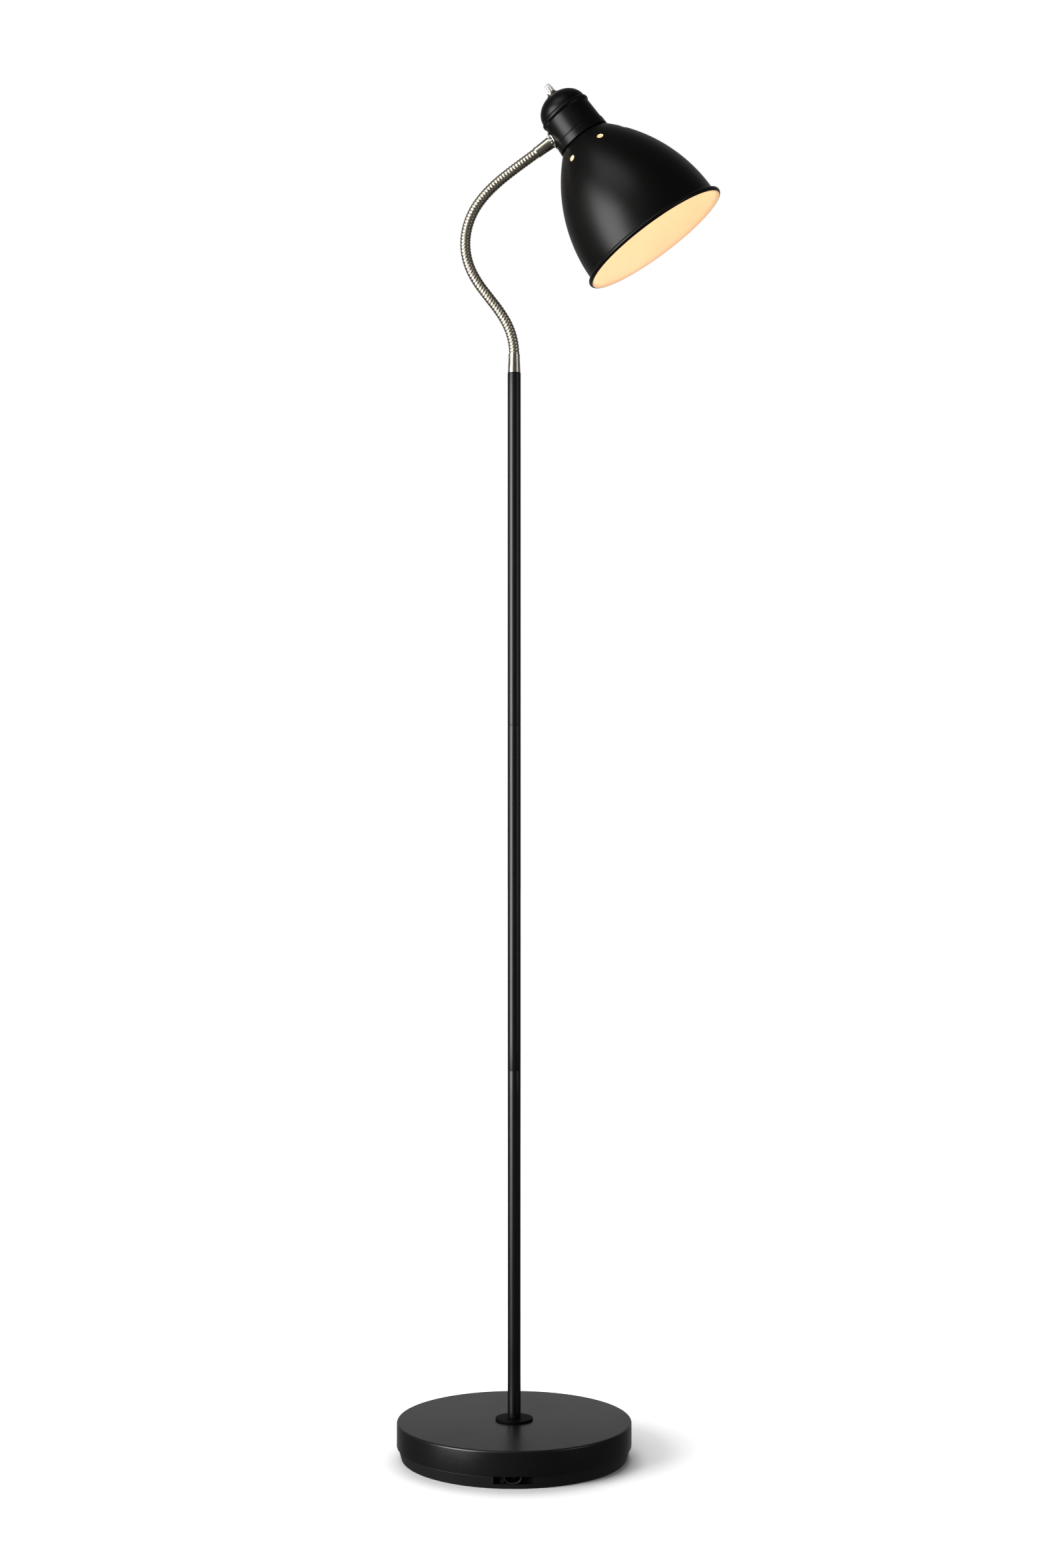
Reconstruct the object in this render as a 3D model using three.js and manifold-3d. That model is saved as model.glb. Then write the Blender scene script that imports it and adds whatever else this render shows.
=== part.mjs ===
// Adjustable floor reading lamp: a weighted round base, a three-piece pole, a flexible neck and a
// bell-shaped metal shade under a switch cup. Millimetres, +Z up, origin on the floor under the pole.
// The neck and the head lie in the XZ plane and the head leans towards +X.
import * as THREE from 'three';
import { mergeVertices } from 'three/addons/utils/BufferGeometryUtils.js';
import Module from 'manifold-3d';

const wasm = await Module();
wasm.setup();

// ---- Driving dimensions ----
const gap = 0.3; // clearance kept between touching pieces
const slide = 0.3; // radial clearance of a piece that sits in a bore

const baseRadius = 125;
const baseHeight = 40;
const footHeight = 13.5; // part of the base that shows below the cover
const coverWall = 1.2;
const coverEdgeRadius = 3;
const footInset = 1.5; // foot ring's step back from the cover
const footTaper = 3.5; // how much smaller the foot ring is at the floor
const footWall = 2.5;
const footFloor = 2;
const padThickness = 2;
const padMargin = 4; // from the foot wall to the pad
const weightMargin = 3;
const pocketRadius = 16; // nut pocket under the weight
const pocketDepth = 18;
const outletAngle = -84.2; // degrees about Z, where the lead leaves the base
const outletWidth = 39.5;
const outletSill = 4.8; // height of the foot ring below the outlet
const bushingWidth = 18.6;
const bushingDepth = 8;
const bushingWall = 1.3;
const leadRadius = 2.5;

const leadClearance = 0.7;
const bushWall = 0.65; // brass bush between the pole and a threaded nipple
const nutFlats = 14;
const nutHeight = 3.5;
const lockWasherThickness = 1.5;
const flangeRadius = 20;
const flangeHeight = 2;

const poleRadius = 7;
const poleWall = 1;
const poleLowerLength = 369.5;
const poleMiddleLength = 368;
const poleUpperLength = 375.2;
const couplerLength = 50;
const bushLength = 16;

const lowerFerruleLength = 19.7;
const upperFerruleLength = 18.4;
const ferruleTaper = 0.6; // ferrules are thinner at the neck's side
const screwRadius = 1.1;
const screwInset = 3.8; // grub screw's distance from the ferrule's neck end
const screwAngle = 64; // degrees from the front, to the -X side below and to the upper side at the head
const neckRadius = 5.55;
const neckBore = 3.4;
const linkLength = 20;
const linkGap = 1.9; // room between two links for them to tilt
const linkLean = [0, -16, -31, -38, -37, -27, -11, 6, 22, 37, 47, 53, 55, 55]; // degrees from upright

const cupNeckHeight = 18.4; // neck's centreline above the cup's lower edge
const cupSkirtHeight = 32.1;
const cupLowRadius = 28.5;
const cupHighRadius = 27;
const cupBeadHeight = 5.5;
const cupBeadOut = 1.3;
const cupBandHeight = 8.6;
const cupGroove = 0.5;
const cupWall = 1;
const cupSides = 28;
const domeHeight = 21;
const domeBore = 3.9; // radius of the hole at the dome's top

const saddleThickness = 1.3;
const washerRadius = 7.4;
const washerThickness = 1;

const shadeHeight = 132.9; // from the cup's lower edge to the mouth
const shadeRise = 3.6; // how far the shade's top reaches up inside the cup
const shadeShoulder = 66.5; // how far the shoulder's slope carries before it turns into the skirt
const shadeShoulderAngle = 44; // degrees below level
const shadeSkirtRadius = 79;
const shadeSkirtHeight = 10;
const shadeSkirtPull = 27;
const shadeWall = 0.9;
const rimRadius = 84;
const rimTube = 2.6; // radius of the rolled rim
const ventCount = 7;
const ventRadius = 3.1;
const ventDrop = 17.7; // vents below the cup's lower edge
const ventTurn = -74; // first vent, degrees about the head's axis from its +X side

const ringWidth = 2.4; // holder ring's wall
const holderFlangeHeight = 3;
const holderDrop = 17; // holder's mouth below the shade's top plate
const holderBack = 24; // holder's back above its flange
const holderBackRoom = 3; // between the holder's back and the neck's nipple
const shellWall = 0.5;
const ringHeight = 4.5;
const capRadius = 13.1;
const capLength = 25;
const contactRadius = 4;
const contactHeight = 3;
const bulbRadius = 30;
const bulbLength = 106;
const bulbWall = 0.8;

const switchRadius = 11;
const switchHeight = 13;
const switchDrop = 4.5; // switch body below the dome's inside
const stemRadius = 2;
const collarRadius = 4.9;
const collarHeight = 1.8;
const seatRadius = 6.2; // ring between the collar and the dome
const seatHeight = 0.6;
const knobRadius = 4.9;
const knobHeight = 9.2;
const knobTaper = 0.2;
const knobFluteDepth = 0.6;
const knobFlutes = 12;

// ---- Finishes ----
const finish = {
  blackPaint: [0x191918, 0.42, 0.2],
  blackPlastic: [0x1c1c1c, 0.6, 0],
  nickel: [0xb9b2a0, 0.28, 1],
  steel: [0x9a9c9f, 0.35, 1],
  brass: [0xc9a04a, 0.3, 1],
  cement: [0x2a2a29, 0.95, 0],
  foam: [0x2a2a2a, 0.95, 0],
  porcelain: [0xe6e1d6, 0.4, 0],
  frosted: [0xfff1d8, 0.3, 0],
  clearPlastic: [0xcfd0ce, 0.15, 0],
};

// ---- Solids ----
const radians = THREE.MathUtils.degToRad;
const lamp = new THREE.Group();

// Merges shared corners, drops flat triangles and turns the faces outwards.
function closed(geometry) {
  const bare = geometry.clone();
  bare.deleteAttribute('normal');
  bare.deleteAttribute('uv');
  const merged = mergeVertices(bare, 1e-4);
  const points = merged.attributes.position;
  const kept = [];
  let volume = 0;
  const [a, b, c] = [new THREE.Vector3(), new THREE.Vector3(), new THREE.Vector3()];
  for (let i = 0; i < merged.index.count; i += 3) {
    const corner = [0, 1, 2].map((k) => merged.index.getX(i + k));
    if (new Set(corner).size < 3) continue;
    kept.push(corner);
    a.fromBufferAttribute(points, corner[0]);
    b.fromBufferAttribute(points, corner[1]);
    c.fromBufferAttribute(points, corner[2]);
    volume += a.dot(b.cross(c));
  }
  const outward = volume > 0 ? kept : kept.map(([p, q, r]) => [p, r, q]);
  merged.setIndex(outward.flat());
  return merged;
}

function toManifold(geometry) {
  const shape = closed(geometry);
  const vertProperties = new Float32Array(shape.attributes.position.array);
  const triVerts = new Uint32Array(shape.index.array);
  return new wasm.Manifold(new wasm.Mesh({ numProp: 3, vertProperties, triVerts }));
}

function fromManifold(solid) {
  const mesh = solid.getMesh();
  const geometry = new THREE.BufferGeometry();
  geometry.setAttribute('position', new THREE.BufferAttribute(mesh.vertProperties, 3));
  geometry.setIndex(new THREE.BufferAttribute(mesh.triVerts, 1));
  return geometry;
}

const cut = (body, ...tools) =>
  fromManifold(tools.reduce((rest, tool) => rest.subtract(toManifold(tool)), toManifold(body)));
const join = (body, ...more) =>
  fromManifold(more.reduce((sum, piece) => sum.add(toManifold(piece)), toManifold(body)));
const common = (body, other) => fromManifold(toManifold(body).intersect(toManifold(other)));

// A solid turned about Z from [radius, height] corners, which close on themselves or end on the axis.
function turned(corners, sides) {
  const profile = corners.map(([r, z]) => new THREE.Vector2(r, z));
  return new THREE.LatheGeometry(profile, sides).rotateX(Math.PI / 2);
}

// A tube or ring with straight walls; a bore of 0 makes a plain round bar.
function pipe(outer, bore, low, high, sides) {
  if (bore === 0) return turned([[0, low], [outer, low], [outer, high], [0, high]], sides);
  return turned([[bore, low], [outer, low], [outer, high], [bore, high], [bore, low]], sides);
}

// A six-sided nut with a round bore, standing on low.
function hexNut(flats, bore, low, height) {
  const outline = new THREE.Shape();
  const corner = flats / Math.sqrt(3);
  for (let k = 0; k < 6; k += 1) {
    const turn = radians(60 * k);
    outline[k === 0 ? 'moveTo' : 'lineTo'](corner * Math.cos(turn), corner * Math.sin(turn));
  }
  outline.closePath();
  outline.holes.push(new THREE.Path().absarc(0, 0, bore, 0, 2 * Math.PI));
  const body = new THREE.ExtrudeGeometry(outline, { depth: height, bevelEnabled: false, curveSegments: 8 });
  return body.translate(0, 0, low);
}

// Points on a quarter of an ellipse about centre, from the angle start to end in degrees.
function arc(centreR, centreZ, radiusR, radiusZ, start, end, steps) {
  return Array.from({ length: steps + 1 }, (_, k) => {
    const turn = radians(start + ((end - start) * k) / steps);
    return [centreR + radiusR * Math.cos(turn), centreZ + radiusZ * Math.sin(turn)];
  });
}

function add(parent, name, geometry, [color, roughness, metalness]) {
  const material = new THREE.MeshStandardMaterial({ color, roughness, metalness });
  const mesh = new THREE.Mesh(closed(geometry), material);
  mesh.name = name;
  parent.add(mesh);
  return mesh;
}

// ---- Values that several pieces share ----
const poleInner = poleRadius - poleWall;
const fillRadius = poleInner - slide; // what slips into the pole
const nippleRadius = fillRadius - bushWall - slide / 2; // threaded tubes that join base, pole and neck
const nippleBore = leadRadius + leadClearance;

// ---- Base ----
const coverTop = baseHeight - gap;
const footTopRadius = baseRadius - footInset;
const footLowRadius = footTopRadius - footTaper;
const footTop = footHeight - gap;
const footLip = gap; // the pad, not the foot ring, meets the floor
const footInnerLow = footLowRadius - footWall;
const floorTop = padThickness + gap + footFloor;
const weightLow = floorTop + gap;
const weightRadius = footInnerLow - weightMargin;
const weightTop = coverTop - coverWall - gap;
const outletHeight = footTop - outletSill;
const outletCentre = outletSill + outletHeight / 2;

const coverInner = baseRadius - coverWall;
const coverCorner = arc(baseRadius - coverEdgeRadius, coverTop - coverEdgeRadius,
  coverEdgeRadius, coverEdgeRadius, 0, 90, 4);
add(lamp, 'base_cover', turned([
  [coverInner, footHeight],
  [baseRadius, footHeight],
  ...coverCorner,
  [nippleRadius + slide, coverTop],
  [nippleRadius + slide, coverTop - coverWall],
  [baseRadius - coverEdgeRadius, coverTop - coverWall],
  [coverInner, coverTop - coverEdgeRadius],
  [coverInner, footHeight],
], 44), finish.blackPaint);

// The lead's way out: a bar across the base's edge in the outlet's direction.
function outletBar(width, height, low, inner, outer) {
  const bar = new THREE.BoxGeometry(outer - inner, width, height);
  bar.translate((inner + outer) / 2, 0, low + height / 2);
  return bar.rotateZ(radians(outletAngle));
}

const weightBlock = turned([
  [pocketRadius, weightLow],
  [weightRadius, weightLow],
  [weightRadius, weightTop],
  [nippleRadius + slide, weightTop],
  [nippleRadius + slide, weightLow + pocketDepth],
  [pocketRadius, weightLow + pocketDepth],
  [pocketRadius, weightLow],
], 48);
const channelHeight = footTop + gap - weightLow;
const leadChannel = outletBar(bushingWidth, channelHeight + 1, weightLow - 1, pocketRadius - 2, baseRadius);
add(lamp, 'base_weight', cut(weightBlock, leadChannel), finish.cement);

const footRing = turned([
  [nippleRadius + slide, floorTop - footFloor],
  [footInnerLow, floorTop - footFloor],
  [footInnerLow, footLip],
  [footLowRadius, footLip],
  [footTopRadius, footTop],
  [footTopRadius - footWall, footTop],
  [footInnerLow, floorTop],
  [nippleRadius + slide, floorTop],
  [nippleRadius + slide, floorTop - footFloor],
], 44);
const outletCut = outletBar(outletWidth, outletHeight + 1, outletSill, footInnerLow - 1, baseRadius);
add(lamp, 'base_foot_ring', cut(footRing, outletCut), finish.blackPlastic);

const padRadius = footInnerLow - padMargin;
add(lamp, 'base_pad', pipe(padRadius, 0, 0, padThickness, 48), finish.foam);

// A U-shaped bushing hangs in the outlet, and the lead passes through the U.
function bushing() {
  const half = bushingWidth / 2;
  const high = footTop - gap;
  const low = outletSill + gap;
  const corner = (high + low) / 2;
  const inner = half - bushingWall;
  const outline = new THREE.Shape();
  outline.moveTo(-half, high);
  outline.bezierCurveTo(-half, corner, -half * 0.7, low, 0, low);
  outline.bezierCurveTo(half * 0.7, low, half, corner, half, high);
  outline.lineTo(inner, high);
  outline.bezierCurveTo(inner, corner, inner * 0.7, low + bushingWall, 0, low + bushingWall);
  outline.bezierCurveTo(-inner * 0.7, low + bushingWall, -inner, corner, -inner, high);
  outline.closePath();
  const body = new THREE.ExtrudeGeometry(outline,
    { depth: bushingDepth, bevelEnabled: false, curveSegments: 8 });
  body.rotateX(Math.PI / 2).rotateZ(Math.PI / 2); // width along Y, height along Z, depth along X
  body.translate(footInnerLow - bushingDepth / 2, 0, 0);
  return body.rotateZ(radians(outletAngle));
}
add(lamp, 'cable_bushing', bushing(), finish.blackPlastic);

const washerTop = weightLow + pocketDepth - gap;
const washerLow = washerTop - lockWasherThickness;
const nutLow = washerLow - gap - nutHeight;
const nippleLow = nutLow - 1;
const leadBend = nippleLow - outletCentre; // the lead is upright where it enters the nipple
add(lamp, 'base_lock_nut', hexNut(nutFlats, nippleRadius + slide, nutLow, nutHeight), finish.steel);
add(lamp, 'base_lock_washer',
  pipe(pocketRadius - 3, nippleRadius + slide, washerLow, washerTop, 24), finish.steel);

// ---- Pole ----
const poleLow = baseHeight + flangeHeight + gap;
const seamLow = poleLow + poleLowerLength;
const seamHigh = seamLow + poleMiddleLength;
const poleTop = seamHigh + poleUpperLength;

add(lamp, 'pole_flange',
  pipe(flangeRadius, nippleRadius + slide, baseHeight, baseHeight + flangeHeight, 28), finish.blackPaint);
add(lamp, 'base_nipple', pipe(nippleRadius, nippleBore, nippleLow, poleLow + bushLength, 16), finish.steel);
add(lamp, 'pole_foot_bush',
  pipe(fillRadius, nippleRadius + slide / 2, poleLow + gap, poleLow + bushLength, 16), finish.brass);
add(lamp, 'pole_lower', pipe(poleRadius, poleInner, poleLow, seamLow, 20), finish.blackPaint);
add(lamp, 'pole_middle', pipe(poleRadius, poleInner, seamLow + gap, seamHigh, 20), finish.blackPaint);
add(lamp, 'pole_upper', pipe(poleRadius, poleInner, seamHigh + gap, poleTop, 20), finish.blackPaint);
for (const [name, seam] of [['pole_coupler_lower', seamLow], ['pole_coupler_upper', seamHigh]]) {
  add(lamp, name,
    pipe(fillRadius, nippleBore, seam - couplerLength / 2, seam + couplerLength / 2, 16), finish.steel);
}
add(lamp, 'pole_top_bush',
  pipe(fillRadius, nippleRadius + slide / 2, poleTop - bushLength, poleTop, 16), finish.brass);

// The lead lies in the weight's channel, turns up under the nipple and runs up the middle of the pole.
class Elbow extends THREE.Curve {
  constructor(radius, height) {
    super();
    this.radius = radius;
    this.height = height;
  }

  getPoint(t) {
    const turn = (t * Math.PI) / 2;
    const out = this.radius * (1 - Math.sin(turn));
    return new THREE.Vector3(out, 0, this.height + this.radius * (1 - Math.cos(turn)));
  }
}

function lead() {
  const section = new THREE.Shape().absarc(0, 0, leadRadius, 0, 2 * Math.PI);
  const elbow = new THREE.ExtrudeGeometry(section,
    { steps: 5, curveSegments: 5, extrudePath: new Elbow(leadBend, outletCentre) });
  const core = leadRadius - 0.05; // the straight runs end just inside the elbow
  const flat = pipe(core, 0, leadBend - 0.5, footInnerLow - 6, 10);
  flat.rotateY(Math.PI / 2).translate(0, 0, outletCentre);
  const rise = pipe(core, 0, outletCentre + leadBend - 0.5, poleTop - bushLength, 10);
  return join(elbow, flat, rise).rotateZ(radians(outletAngle));
}
add(lamp, 'pole_lead', lead(), finish.blackPlastic);

// ---- Flexible neck ----
const neckLow = poleTop + gap + lowerFerruleLength;

// Both ferrules stand on Z with the neck's end on top; the wide end takes a threaded nipple.
function ferrule(length, turn) {
  const low = nippleRadius + slide;
  const wide = poleRadius - 0.35;
  const body = turned([
    [low, 0], [wide, 0], [wide, 1], [wide - ferruleTaper, length - screwInset - 2],
    [wide - ferruleTaper, length], [neckBore, length], [neckBore, length / 2], [low, length / 2], [low, 0],
  ], 20);
  const hole = pipe(screwRadius + slide, 0, neckBore - 1, wide + 1, 10);
  return cut(body, screwPlace(hole, length, turn));
}

// Stands a bar that lies along +Z so that it points out of the ferrule's side at the screw's place.
function screwPlace(bar, length, turn) {
  bar.rotateY(Math.PI / 2).rotateZ(radians(turn - 90));
  return bar.translate(0, 0, length - screwInset);
}

function grubScrew(length, turn) {
  const out = poleRadius - 0.35 - ferruleTaper;
  const bar = turned([[0, neckBore + gap], [screwRadius, neckBore + gap], [screwRadius, out - 0.3],
    [screwRadius - 0.3, out + 0.1], [0, out + 0.1]], 10);
  return screwPlace(bar, length, turn);
}

const nippleReach = 8; // how far a nipple goes into a ferrule
const lowerNeckRoot = new THREE.Group();
lowerNeckRoot.position.set(0, 0, poleTop + gap);
lamp.add(lowerNeckRoot);
add(lowerNeckRoot, 'neck_ferrule_lower', ferrule(lowerFerruleLength, -screwAngle), finish.nickel);
add(lowerNeckRoot, 'neck_screw_lower', grubScrew(lowerFerruleLength, -screwAngle), finish.steel);
add(lowerNeckRoot, 'neck_nipple_lower',
  pipe(nippleRadius, nippleBore, 2 - bushLength, nippleReach, 16), finish.steel);

// A stretch of the neck's centreline: an arc that starts at a point with one lean and ends with another.
class NeckArc extends THREE.Curve {
  constructor(start, lean, nextLean, from, to) {
    super();
    this.start = start;
    this.lean = radians(lean);
    this.turn = radians(nextLean - lean) / linkLength;
    this.from = from;
    this.to = to;
  }

  // Place at a distance along the whole link.
  at(along) {
    const { start, lean, turn } = this;
    const now = lean + turn * along;
    const straight = Math.abs(turn) < 1e-6;
    const x = straight ? along * Math.sin(lean) : (Math.cos(lean) - Math.cos(now)) / turn;
    const z = straight ? along * Math.cos(lean) : (Math.sin(now) - Math.sin(lean)) / turn;
    return new THREE.Vector3(start.x + x, 0, start.z + z);
  }

  getPoint(t) {
    return this.at(this.from + t * (this.to - this.from));
  }
}

const linkSection = new THREE.Shape().absarc(0, 0, neckRadius, 0, 2 * Math.PI);
linkSection.holes.push(new THREE.Path().absarc(0, 0, neckBore, 0, 2 * Math.PI));
const linkCount = linkLean.length - 1;
let neckPoint = new THREE.Vector3(0, 0, neckLow);
for (let k = 0; k < linkCount; k += 1) {
  const from = k === 0 ? gap : linkGap / 2;
  const to = linkLength - (k === linkCount - 1 ? gap : linkGap / 2);
  const path = new NeckArc(neckPoint, linkLean[k], linkLean[k + 1], from, to);
  const link = new THREE.ExtrudeGeometry(linkSection, { steps: 2, curveSegments: 6, extrudePath: path });
  add(lamp, `neck_link_${String(k + 1).padStart(2, '0')}`, link, finish.nickel);
  neckPoint = path.at(linkLength);
}

// ---- Head ----
// The head's own frame: origin where the neck's line meets the cup's axis, +Z up the cup's axis to
// the switch, -X towards the neck.
const cupLow = -cupNeckHeight;
const beadLow = cupLow + cupSkirtHeight;
const domeLow = beadLow + cupBeadHeight;
const domeTop = domeLow + domeHeight;
const cupRadiusAt = (z) =>
  cupLowRadius + ((cupHighRadius - cupLowRadius) * (z - cupLow)) / cupSkirtHeight;
const domeRadius = cupHighRadius - 0.4;
const cupInnerAt = (z) =>
  cupLowRadius - cupWall + ((domeRadius - cupLowRadius) * (z - cupLow)) / (domeLow - cupLow);
const saddleRadius = Math.min(cupNeckHeight - cupBandHeight, beadLow) - gap; // between band and bead
const saddleBack = Math.max(cupRadiusAt(-washerRadius), cupRadiusAt(washerRadius));
const saddleOuter = saddleBack + gap + saddleThickness;
const washerFace = saddleOuter + gap;
const ferruleFace = washerFace + washerThickness + gap;
const headReach = ferruleFace + upperFerruleLength;

const endLean = linkLean[linkCount];
const head = new THREE.Group();
head.position.copy(neckPoint);
head.rotation.y = radians(endLean - 90);
lamp.add(head);
const headCentre = new THREE.Group();
headCentre.position.x = headReach;
head.add(headCentre);

// Turns a piece that stands on +Z so that it points at the neck.
const toNeck = (geometry) => geometry.rotateY(-Math.PI / 2);

const upperFerrule = new THREE.Group();
upperFerrule.rotation.y = -Math.PI / 2;
upperFerrule.position.x = -ferruleFace;
headCentre.add(upperFerrule);
add(upperFerrule, 'neck_ferrule_upper', ferrule(upperFerruleLength, screwAngle), finish.nickel);
add(upperFerrule, 'neck_screw_upper', grubScrew(upperFerruleLength, screwAngle), finish.steel);

const wallBore = nippleRadius + slide;
const nutCorner = nutFlats / Math.sqrt(3);
const nutSeat = Math.min(cupInnerAt(nutCorner), cupInnerAt(-nutCorner)) * Math.cos(Math.PI / cupSides);
const nutFace = Math.sqrt(nutSeat ** 2 - nutCorner ** 2) - gap;
const nippleEnd = nutFace - nutHeight - 1;
add(headCentre, 'neck_nipple_upper',
  toNeck(pipe(nippleRadius, nippleBore, nippleEnd, ferruleFace + nippleReach, 16)), finish.steel);
add(headCentre, 'neck_nut', toNeck(hexNut(nutFlats, wallBore, nutFace - nutHeight, nutHeight)), finish.steel);
add(headCentre, 'neck_washer',
  toNeck(pipe(washerRadius, wallBore, washerFace, washerFace + washerThickness, 24)), finish.nickel);

const saddleShell = turned([
  [cupRadiusAt(-saddleRadius - 1) + gap, -saddleRadius - 1],
  [cupRadiusAt(-saddleRadius - 1) + gap + saddleThickness, -saddleRadius - 1],
  [cupRadiusAt(saddleRadius + 1) + gap + saddleThickness, saddleRadius + 1],
  [cupRadiusAt(saddleRadius + 1) + gap, saddleRadius + 1],
  [cupRadiusAt(-saddleRadius - 1) + gap, -saddleRadius - 1],
], 48);
const saddleBar = toNeck(pipe(saddleRadius, wallBore, cupHighRadius / 2, washerFace + 5, 24));
add(headCentre, 'neck_saddle', common(saddleShell, saddleBar), finish.nickel);

// ---- Switch cup ----
const cupOuter = [
  [cupLowRadius + cupGroove, cupLow],
  [cupRadiusAt(cupLow + cupBandHeight) + cupGroove, cupLow + cupBandHeight - cupGroove],
  [cupRadiusAt(cupLow + cupBandHeight), cupLow + cupBandHeight],
  [cupHighRadius, beadLow],
  ...arc(cupHighRadius, beadLow + cupBeadHeight / 2, cupBeadOut, cupBeadHeight / 2 - 0.3, -60, 60, 4),
  ...arc(0, domeLow, domeRadius, domeHeight, 0, 72, 7),
];
const cupInner = [
  [domeBore, domeTop - cupWall],
  ...arc(0, domeLow, domeRadius - cupWall, domeHeight - cupWall, 72, 0, 5),
  [cupLowRadius - cupWall, cupLow],
];
const cupShell = turned([...cupOuter, [domeBore, domeTop], ...cupInner, cupOuter[0]], cupSides);
const sideBore = toNeck(pipe(wallBore, 0, cupHighRadius / 2, cupLowRadius + 5, 16));
add(headCentre, 'cup', cut(cupShell, sideBore), finish.blackPaint);

// ---- Switch ----
const seatLow = domeTop + gap;
const collarLow = seatLow + seatHeight + gap;
const knobLow = collarLow + collarHeight + gap;
const switchTop = domeTop - cupWall - switchDrop;
const stemBore = stemRadius + slide;
const bushRadius = domeBore - slide;
add(headCentre, 'switch_body', turned([
  [0, switchTop - switchHeight],
  [switchRadius, switchTop - switchHeight],
  [switchRadius, switchTop],
  [bushRadius, switchTop],
  [bushRadius, knobLow - 2 * gap],
  [stemBore, knobLow - 2 * gap],
  [stemBore, switchTop - switchHeight / 2],
  [0, switchTop - switchHeight / 2],
], 24), finish.blackPlastic);
add(headCentre, 'switch_seat', pipe(seatRadius, domeBore, seatLow, seatLow + seatHeight, 24), finish.brass);
add(headCentre, 'switch_collar',
  pipe(collarRadius, domeBore, collarLow, collarLow + collarHeight, 24), finish.nickel);
const stemTop = knobLow + knobHeight * 0.6;
add(headCentre, 'switch_stem',
  pipe(stemRadius, 0, switchTop - switchHeight / 2 + gap, stemTop, 12), finish.brass);

// A fluted, tapered knob with a blind bore for its stem.
function knob() {
  const outline = new THREE.Shape();
  for (let k = 0; k < 2 * knobFlutes; k += 1) {
    const radius = k % 2 === 0 ? knobRadius : knobRadius - knobFluteDepth;
    const turn = (k * Math.PI) / knobFlutes;
    outline[k === 0 ? 'moveTo' : 'lineTo'](radius * Math.cos(turn), radius * Math.sin(turn));
  }
  outline.closePath();
  const body = new THREE.ExtrudeGeometry(outline, { depth: knobHeight, steps: 3, bevelEnabled: false });
  const points = body.attributes.position;
  for (let i = 0; i < points.count; i += 1) {
    const share = points.getZ(i) / knobHeight;
    const narrow = 1 - knobTaper * share ** 2;
    points.setXYZ(i, points.getX(i) * narrow, points.getY(i) * narrow, points.getZ(i) + knobLow);
  }
  return cut(body, pipe(stemBore, 0, knobLow - 1, stemTop + gap, 12));
}
add(headCentre, 'switch_knob', knob(), finish.clearPlastic);

// ---- Shade ----
const plateTop = cupLow + shadeRise;
const plateLow = plateTop - shadeWall;
const mouth = cupLow - shadeHeight;
const skirtTop = mouth + shadeSkirtHeight;
const shoulder = radians(shadeShoulderAngle);
const shadeTopRadius = cupInnerAt(cupLow) - gap - shadeRise / Math.tan(shoulder);
const bell = new THREE.CubicBezierCurve(
  new THREE.Vector2(shadeTopRadius, plateTop),
  new THREE.Vector2(shadeTopRadius + shadeShoulder * Math.cos(shoulder),
    plateTop - shadeShoulder * Math.sin(shoulder)),
  new THREE.Vector2(shadeSkirtRadius, skirtTop + shadeSkirtPull),
  new THREE.Vector2(shadeSkirtRadius, skirtTop),
);
const bellSteps = 7;
const bellOuter = [];
const bellInner = [];
for (let k = 0; k <= bellSteps; k += 1) {
  const point = bell.getPoint(k / bellSteps);
  const along = bell.getTangent(k / bellSteps);
  bellOuter.push([point.x, point.y]);
  bellInner.push([point.x + along.y * shadeWall, point.y - along.x * shadeWall]);
}
bellInner[0][1] = plateLow;
const rimCentreRadius = rimRadius - rimTube;
const rimCentre = mouth + rimTube;
const shellInner = capRadius + slide;
const socketRadius = shellInner + shellWall + gap;
const ringRadius = shadeTopRadius - shadeWall - gap;
const holderBore = ringRadius - ringWidth;
const holderRadius = holderBore - slide;
const shadeShell = turned([
  [holderBore, plateTop],
  ...bellOuter,
  ...arc(rimCentreRadius, rimCentre, rimTube, rimTube, 155, -155, 6),
  ...bellInner.reverse(),
  [holderBore, plateLow],
  [holderBore, plateTop],
], 36);

// Vents are bored square to the shade's slope.
function vents() {
  const middle = cupLow - ventDrop;
  let share = 0;
  while (bell.getPoint(share).y > middle) share += 0.001;
  const place = bell.getPoint(share);
  const along = bell.getTangent(share);
  const slope = Math.atan2(along.x, -along.y);
  return Array.from({ length: ventCount }, (_, k) => {
    const drill = pipe(ventRadius, 0, -4, 4, 8);
    drill.rotateY(Math.PI / 2 - slope).translate(place.x, 0, place.y);
    return drill.rotateZ(radians(ventTurn + (360 * k) / ventCount));
  });
}
add(headCentre, 'shade', cut(shadeShell, ...vents()), finish.blackPaint);

// ---- Lampholder and bulb ----
const flangeLow = plateTop + gap;
const flangeTop = flangeLow + holderFlangeHeight;
const holderMouth = plateLow - holderDrop;
const holderFlange = shadeTopRadius - gap;
const holderBackRadius = nippleEnd - holderBackRoom;
const glassLow = holderMouth + 2;
const capTop = glassLow + capLength;
const socketTop = capTop + gap + contactHeight + gap;
add(headCentre, 'lamp_holder', turned([
  [0, socketTop],
  [socketRadius, socketTop],
  [socketRadius, holderMouth],
  [holderRadius, holderMouth],
  [holderRadius, flangeLow],
  [holderFlange, flangeLow],
  [holderFlange, flangeTop],
  [holderBackRadius, flangeTop + 1],
  [holderBackRadius, flangeTop + holderBack],
  [0, flangeTop + holderBack],
], 24), finish.porcelain);
add(headCentre, 'lamp_holder_shell',
  pipe(shellInner + shellWall, shellInner, holderMouth + 4, capTop - 4, 28), finish.brass);
add(headCentre, 'lamp_holder_contact',
  pipe(contactRadius, 0, capTop + gap, capTop + gap + contactHeight, 12), finish.brass);
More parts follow.
